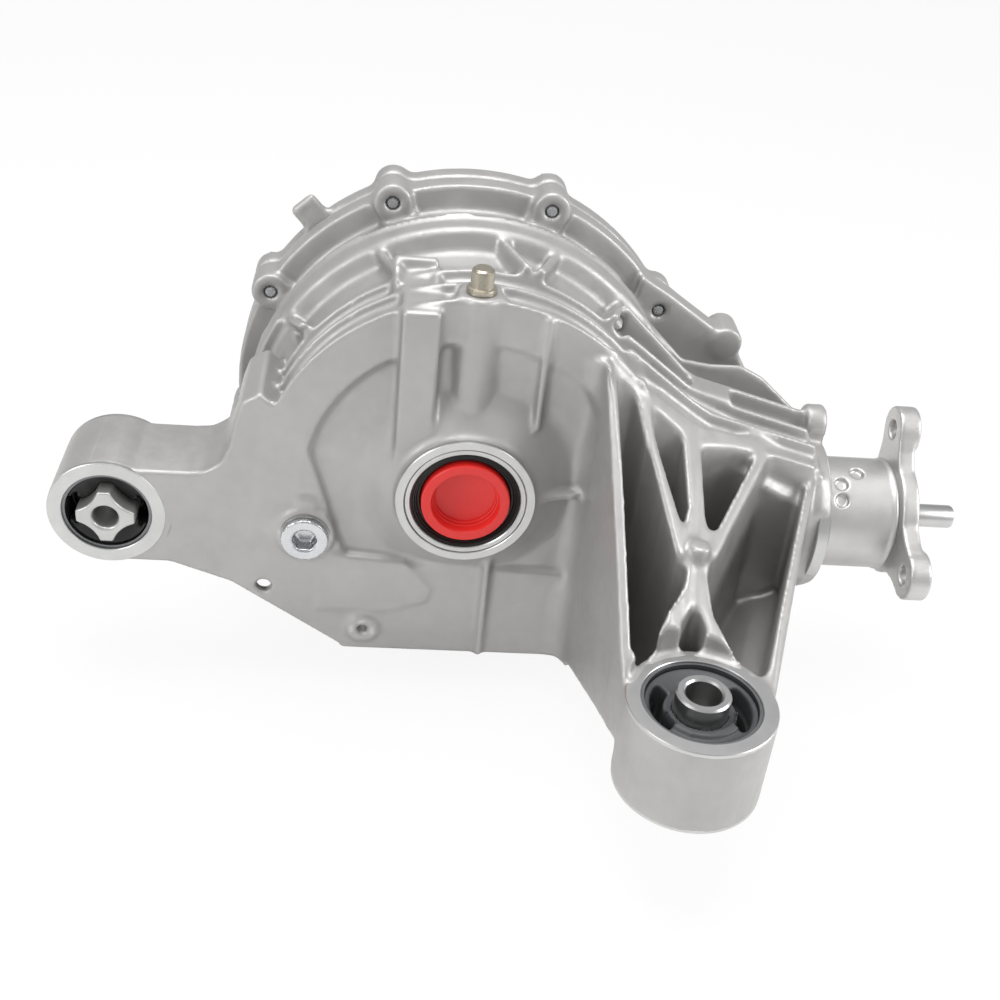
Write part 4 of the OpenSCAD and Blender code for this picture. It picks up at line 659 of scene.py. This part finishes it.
# Breather: a small zinc-plated steel cap with a collar, yellowed by heat. It is pressed into its boss on
# top of the drum and lets warm air out of the case.
# Yellowed zinc: a warm grey metal with a soft shine.
warm_zinc = finish("yellowed_zinc_cap", "#a39b8a", "#c2bdb0", 1.0, (0.26, 0.4), 1.5, 0.08)
breather_cap = turned("breather_cap", [((0, 24, 114.5), (0, 0, 1), [
    (0, -17), (3.9, -17), (3.9, 0), (7.6, 0), (8, 0.4), (8, 2.4), (7.5, 3), (6.3, 3.4), (6.1, 4),
    (6.1, 11), (5.7, 12.4), (4.6, 13.3), (2.4, 13.5), (0, 13.5)])], steps=64)
place(breather_cap, warm_zinc, "housing", "zinc_steel", "breather")


# Rear mount: black natural rubber moulded between a pressed-in steel shell and a four-lobed core of extruded
# aluminium. The rubber sinks from its rim towards the core, and has a rounded nick on each side of it.
# Phosphated steel: a dark, dull grey metal.
shell_steel = finish("phosphated_steel_shell", "#6f7072", "#838486", 1.0, (0.35, 0.5), 0.7, 0.05)
dress(shell_steel, "rear_bush_shell", "front_bush_shell")
# Moulded natural rubber: nearly black, with a broad soft sheen.
black_rubber = finish("moulded_black_rubber", "#131313", "#1d1d1c", 0.0, (0.42, 0.6), 0.6, 0.05)


def rear_rubber_shape(field, x, y, z):
    """Cones that sink both ends of the rubber from a narrow rim, and rounded nicks beside the core."""
    radius = np.hypot(x - rear_x, z - rear_z)
    for level, outward in ((18, 1), (66, -1)):
        depth = outward * (y - level)
        carve(field, depth - 0.42 * (21.4 - radius), radius - 21.4)
        for side in (-1, 1):
            carve(field, np.hypot(x - rear_x - side * 19.6, z - rear_z) - 7.5, depth - 14)


rear_rubber = formed("rear_rubber", "rear_bush_rubber", [], rear_rubber_shape, 0.6, 0.8, 0.5, 60000)
place(rear_rubber, black_rubber, "housing", "black_rubber", "rear_bush_rubber")
# Extruded aluminium: light grey with a satin shine.
extruded = finish("extruded_aluminium", "#b0b0ae", "#c4c4c2", 0.8, (0.36, 0.46), 0.6, 0.03)


def core_ends(field, x, y, z):
    """Chamfers at both ends of the core's bore."""
    bore = np.hypot(x - rear_x, z - rear_z)
    carve(field, bore - 8.2 + (y - 10.5), y - 13)
    carve(field, bore - 8.2 - (y - 73.5), 71 - y)


place(formed("rear_core", "rear_bush_core", [], core_ends, 0.5, 0.4, 0.5, 40000), extruded,
      "housing", "core_aluminium", "rear_bush_core")


# Front mount: dark grey rubber moulded between a pressed-in shell and a thick steel sleeve. Its far half
# slopes evenly to the rim, its near half has a step and a small nib, and fine flutes run down both sides.
# Moulded grey rubber: dark grey, lighter than the rear mount's, with a broad soft sheen.
grey_rubber = finish("moulded_grey_rubber", "#3a3b3c", "#4b4c4e", 0.0, (0.42, 0.58), 0.6, 0.05)


def front_rubber_shape(field, x, y, z):
    """At both ends a groove round the sleeve, a slope on the far half, a step on the near half, and flutes
    set 4 degrees apart in the left and right walls. The upper end has a nib."""
    radius = np.hypot(x - mount_x, y - mount_y)
    for level, outward in ((-29, -1), (-75, 1)):
        depth = outward * (z - level)
        carve(field, radius - 17.2, 14.6 - radius, depth - 4)
        far_side = -(y - mount_y)
        carve(field, depth - 0.32 * (27.6 - radius), radius - 27.6, far_side)
        carve(field, depth - 0.7 * (27.6 - radius), radius - 27.6, -far_side, depth - 2.2, 21.5 - radius)
        for k in range(-9, 10):
            for side in (0, 180):
                turn = math.radians(side + 4 * k)
                wall = mount_x + 24.6 * math.cos(turn), mount_y + 24.6 * math.sin(turn)
                carve(field, np.hypot(x - wall[0], y - wall[1]) - 0.9, depth - 12)
    nib = np.hypot(x - 106, y + 144)
    join(field, nib - 1.6, between(z, -33, -28.9))


front_rubber = formed("front_rubber", "front_bush_rubber", [], front_rubber_shape, 0.6, 0.7, 0.4, 80000)
place(front_rubber, grey_rubber, "housing", "grey_rubber", "front_bush_rubber")
# Turned steel: bright, with circular tool marks.
turned_steel = turned_metal("turned_steel", "#adadad", "#c4c4c3", 0.28, 0.4)
sleeve_profile = ring_profile(9.2, 13.8, -83.5, -20.5, 1.0)
front_sleeve = turned("front_sleeve", [((mount_x, mount_y, 0), (0, 0, 1), sleeve_profile)])
place(front_sleeve, turned_steel, "housing", "plain_steel", "front_bush_sleeve")


# Output seals: a pressed steel case with a ridged black rubber lip, pressed into each output bore. A soft
# red cup with a flat brim, a stepped wall and a plain floor closes the bore for transport.
# Moulded plastic: bright red with an even soft shine.
red_plastic = finish("moulded_red_plastic", "#d3201c", "#df2b26", 0.0, (0.34, 0.46), 0.8, 0.03)
seal_section = [(30.0, 9.0), (30.0, 1.3), (29.4, 1.0), (28.8, 1.7), (28.2, 1.4), (27.6, 2.6), (27.0, 2.4),
                (26.2, 3.7), (25.4, 3.6), (24.5, 4.8), (24.5, 7.4), (26.0, 9.0)]
cup_section = [(0, 8.2), (15.6, 8.2), (16.4, 7.8), (16.8, 6.4), (17.3, 6.1), (17.6, 4.0), (18.1, 3.7),
               (18.5, 0), (19.0, -0.9), (19.5, -1.0), (23.6, -1.0), (24.2, -0.5), (24.3, 0.4), (24.2, 8),
               (23.0, 11), (0, 11)]
for side, centre, outward in (("near", (0, 0, 0), (0, 1, 0)), ("far", (0, 190, 0), (0, -1, 0))):
    case_ring = turned(side + "_seal_ring", [(centre, outward, ring_profile(30.1, 33.35, 0.4, 9.4, 0.5))])
    place(case_ring, turned_steel, "housing", "plain_steel", side + "_seal_case")
    lip = turned(side + "_seal_lip", [(centre, outward, seal_section)], smooth=50.0)
    place(lip, black_rubber, "housing", "black_rubber", side + "_output_seal")
    cup = turned(side + "_transit_cup", [(centre, outward, cup_section)])
    place(cup, red_plastic, "housing", "red_plastic", side + "_transit_plug")
dress(black_rubber, "pinion_seal")


# Drive flange: a steel forging with three arms that narrow in hollow curves to flat pads round the bolt
# holes. The turned sleeve behind it has a rolled bead and three round vents, drawn as dimples. A pin at its
# middle centres the propeller shaft.
# Forged and turned steel: light grey with a satin shine.
forged_steel = finish("forged_and_turned_steel", "#b3b2b1", "#c9c8c6", 0.85, (0.38, 0.5), 0.9, 0.08)


def flange_shape(field, x, y, z):
    """Hub, disc and centre ring as one section turned about the pinion axis, with three drilled arms."""
    about = np.hypot(y - pinion_y, z - pinion_z)
    section = [(195, 0), (195, 22), (247, 22), (259, 33.2), (259, 36), (269, 36), (269, 25), (272, 24),
               (272, 19), (250, 19), (250, 0)]
    forging = outline(section, x, about)
    arm = [(20, -26), (26, -22.2), (33, -18), (41, -15.2), (50, -14.2), (50, 14.2), (41, 15.2), (33, 18),
           (26, 22.2), (20, 26)]
    for degrees in (70, 190, 310):
        turn = math.radians(degrees)
        out = (y - pinion_y) * math.cos(turn) + (z - pinion_z) * math.sin(turn)
        across = (z - pinion_z) * math.cos(turn) - (y - pinion_y) * math.sin(turn)
        eye = np.hypot(out - 52, across)
        forging = np.minimum(forging, overlap(outline(arm, out, across), between(x, 259, 269)))
        forging = np.minimum(forging, overlap(eye - 14.4, between(x, 259, 272)))
        forging = overlap(forging, 5.8 - eye)
    field[:] = forging


drive_flange = formed("flange_forging", "drive_flange", [], flange_shape, 0.8, 1.8, 0.9, 90000)
place(drive_flange, forged_steel, "pinion", "plain_steel", "drive_flange")


def sleeve_shape(field, x, y, z):
    """A tube with a rolled bead and three round dimples, each sunk along its own radius."""
    about = np.hypot(y - pinion_y, z - pinion_z)
    tube = overlap(about - 33.2, 28.6 - about, between(x, 214, 257.6))
    bead = np.hypot(x - 255.8, about - 32.9) - 1.3
    tube = np.minimum(tube, bead)
    for along, degrees in ((223.4, 118), (223.2, 136), (234, 103)):
        turn = math.radians(degrees)
        out = (y - pinion_y) * math.cos(turn) + (z - pinion_z) * math.sin(turn)
        across = (z - pinion_z) * math.cos(turn) - (y - pinion_y) * math.sin(turn)
        tube = overlap(tube, -overlap(np.hypot(x - along, across) - 4, 30.6 - out))
    field[:] = tube


place(formed("vented_sleeve", "flange_sleeve", [], sleeve_shape, 0.6, 0.3, 0.3, 60000), forged_steel,
      "pinion", "plain_steel", "flange_sleeve")
centring = turned("centring_pin_body", [((0, pinion_y, pinion_z), (1, 0, 0), [
    (0, 264), (18.9, 264), (18.9, 271), (7, 271), (7, 301.2), (6.5, 302.4), (5.2, 303), (0, 303)])],
    steps=96)
place(centring, turned_steel, "pinion", "plain_steel", "centring_pin")
# Machined steel left bare: mid grey with a soft shine.
plain_steel = finish("plain_machined_steel", "#9d9da0", "#b3b3b5", 1.0, (0.26, 0.38), 0.7, 0.04)
dress(plain_steel, "pinion_nut", "crush_sleeve")
dress(plain_steel, "near_preload_shim", "far_preload_shim", "pinion_depth_shim")


# Gears, carrier, cages and thrust washers inside the case. The gears are cut, hardened and phosphated, the
# carrier is cast iron turned to size, and the cages are pressed from sheet.
# Phosphated gear steel: dark grey with a soft shine.
gear_steel = finish("phosphated_gear_steel", "#5c5d60", "#707174", 1.0, (0.3, 0.42), 0.5, 0.04)
dress(gear_steel, "pinion_gear", "ring_gear", "near_side_gear", "far_side_gear", "upper_planet_gear",
      "lower_planet_gear", "cross_pin", "cross_pin_lock", "ring_gear_bolts")
# Machined cast iron: the darkest metal here, with a coarser grain.
iron = finish("machined_cast_iron", "#4a4a4c", "#5e5e60", 1.0, (0.38, 0.55), 0.8, 0.08)
dress(iron, "carrier")
# Pressed sheet steel: mid grey and even.
cage_steel = finish("pressed_cage_steel", "#77787b", "#8b8c8f", 1.0, (0.3, 0.4), 0.6, 0.03)
dress(cage_steel, "head_bearing_cage", "tail_bearing_cage", "near_bearing_cage", "far_bearing_cage")
# Bearing bronze: a warm brownish yellow metal.
bronze = finish("bearing_bronze", "#a98a4e", "#bd9d60", 1.0, (0.28, 0.4), 0.6, 0.03)
dress(bronze, "side_gear_washers", "planet_washers")


# Studio: a plain pale floor just under the part's lowest point, an even grey room and three soft lamps.
# Pale paper: the camera sees it nearly white, and it keeps the part's shadow. Its grain is 3 mm across.
floor_z = cad_low.z - 0.3 * mm
floor_corners = np.array([[-4, -4, floor_z], [4, -4, floor_z], [4, 4, floor_z], [-4, 4, floor_z]])
floor = new_piece("floor", floor_corners, np.array([[0, 1, 2, 3]]))
pale, tree, shader, spot = surface("pale_paper", 0.0, 0.8)
shader.inputs["Base Color"].default_value = linear("#efefee")
paper = add(tree, "ShaderNodeTexNoise", {"Vector": spot, "Scale": 300.0})
rough_paper = add(tree, "ShaderNodeBump", {"Height": paper.outputs["Fac"], "Strength": 0.05,
                                           "Distance": 1 * mm})
tree.links.new(rough_paper.outputs[0], shader.inputs["Normal"])
glow = add(tree, "ShaderNodeEmission", {"Color": (1, 1, 1, 1), "Strength": 1.0})
rays = add(tree, "ShaderNodeLightPath")
seen = add(tree, "ShaderNodeMath", {0: rays.outputs["Is Camera Ray"], 1: 0.9}, operation="MULTIPLY")
both = add(tree, "ShaderNodeMixShader", {0: seen.outputs[0], 1: shader.outputs[0], 2: glow.outputs[0]})
tree.links.new(both.outputs[0], tree.nodes["Material Output"].inputs["Surface"])
floor.data.materials.append(pale)

world = bpy.data.worlds.new("studio")
bpy.context.scene.world = world
world.use_nodes = True
tree = world.node_tree
rays = add(tree, "ShaderNodeLightPath")
camera_ray, glass_ray = rays.outputs["Is Camera Ray"], rays.outputs["Is Transmission Ray"]
shown = add(tree, "ShaderNodeMath", {0: camera_ray, 1: glass_ray}, operation="MAXIMUM")
room = add(tree, "ShaderNodeMix", {0: shown.outputs[0], 6: (0.54, 0.54, 0.55, 1), 7: (1, 1, 1, 1)},
           data_type="RGBA")
tree.links.new(room.outputs[2], tree.nodes["Background"].inputs["Color"])
tree.nodes["Background"].inputs["Strength"].default_value = 1.0


def lamp(name, spot, aim, size, power):
    """A square soft lamp that points at a place."""
    data = bpy.data.lights.new(name, "AREA")
    data.size = size
    data.energy = power
    obj = bpy.data.objects.new(name, data)
    bpy.context.scene.collection.objects.link(obj)
    obj.location = spot
    obj.rotation_euler = (Vector(aim) - Vector(spot)).to_track_quat("-Z", "Y").to_euler()
    return obj


lamp("top_softbox", (-0.1, 0.1, 1.4), (0, 0.05, 0), 1.1, 18)
lamp("left_softbox", (-1.2, -0.7, 0.7), (0, 0, 0), 0.7, 8)
lamp("right_softbox", (1.2, -0.3, 0.6), (0.1, 0, 0), 0.6, 9)

# Camera: fitted to the round outlines in the photograph. The three directions are those of its frame.
right = (0.9944, -0.0506, 0.0927)
down = (0.0497, -0.5509, -0.8331)
ahead = (0.0932, 0.8331, -0.5453)
view = bpy.data.cameras.new("photo_view")
view.sensor_width = 36.0
view.lens = 49.47
camera = bpy.data.objects.new("photo_view", view)
bpy.context.scene.collection.objects.link(camera)
camera.matrix_world = Matrix((
    (right[0], -down[0], -ahead[0], -0.0511),
    (right[1], -down[1], -ahead[1], -0.6232),
    (right[2], -down[2], -ahead[2], 0.4110),
    (0, 0, 0, 1),
))
bpy.context.scene.camera = camera
bpy.context.scene.view_settings.view_transform = "Standard"
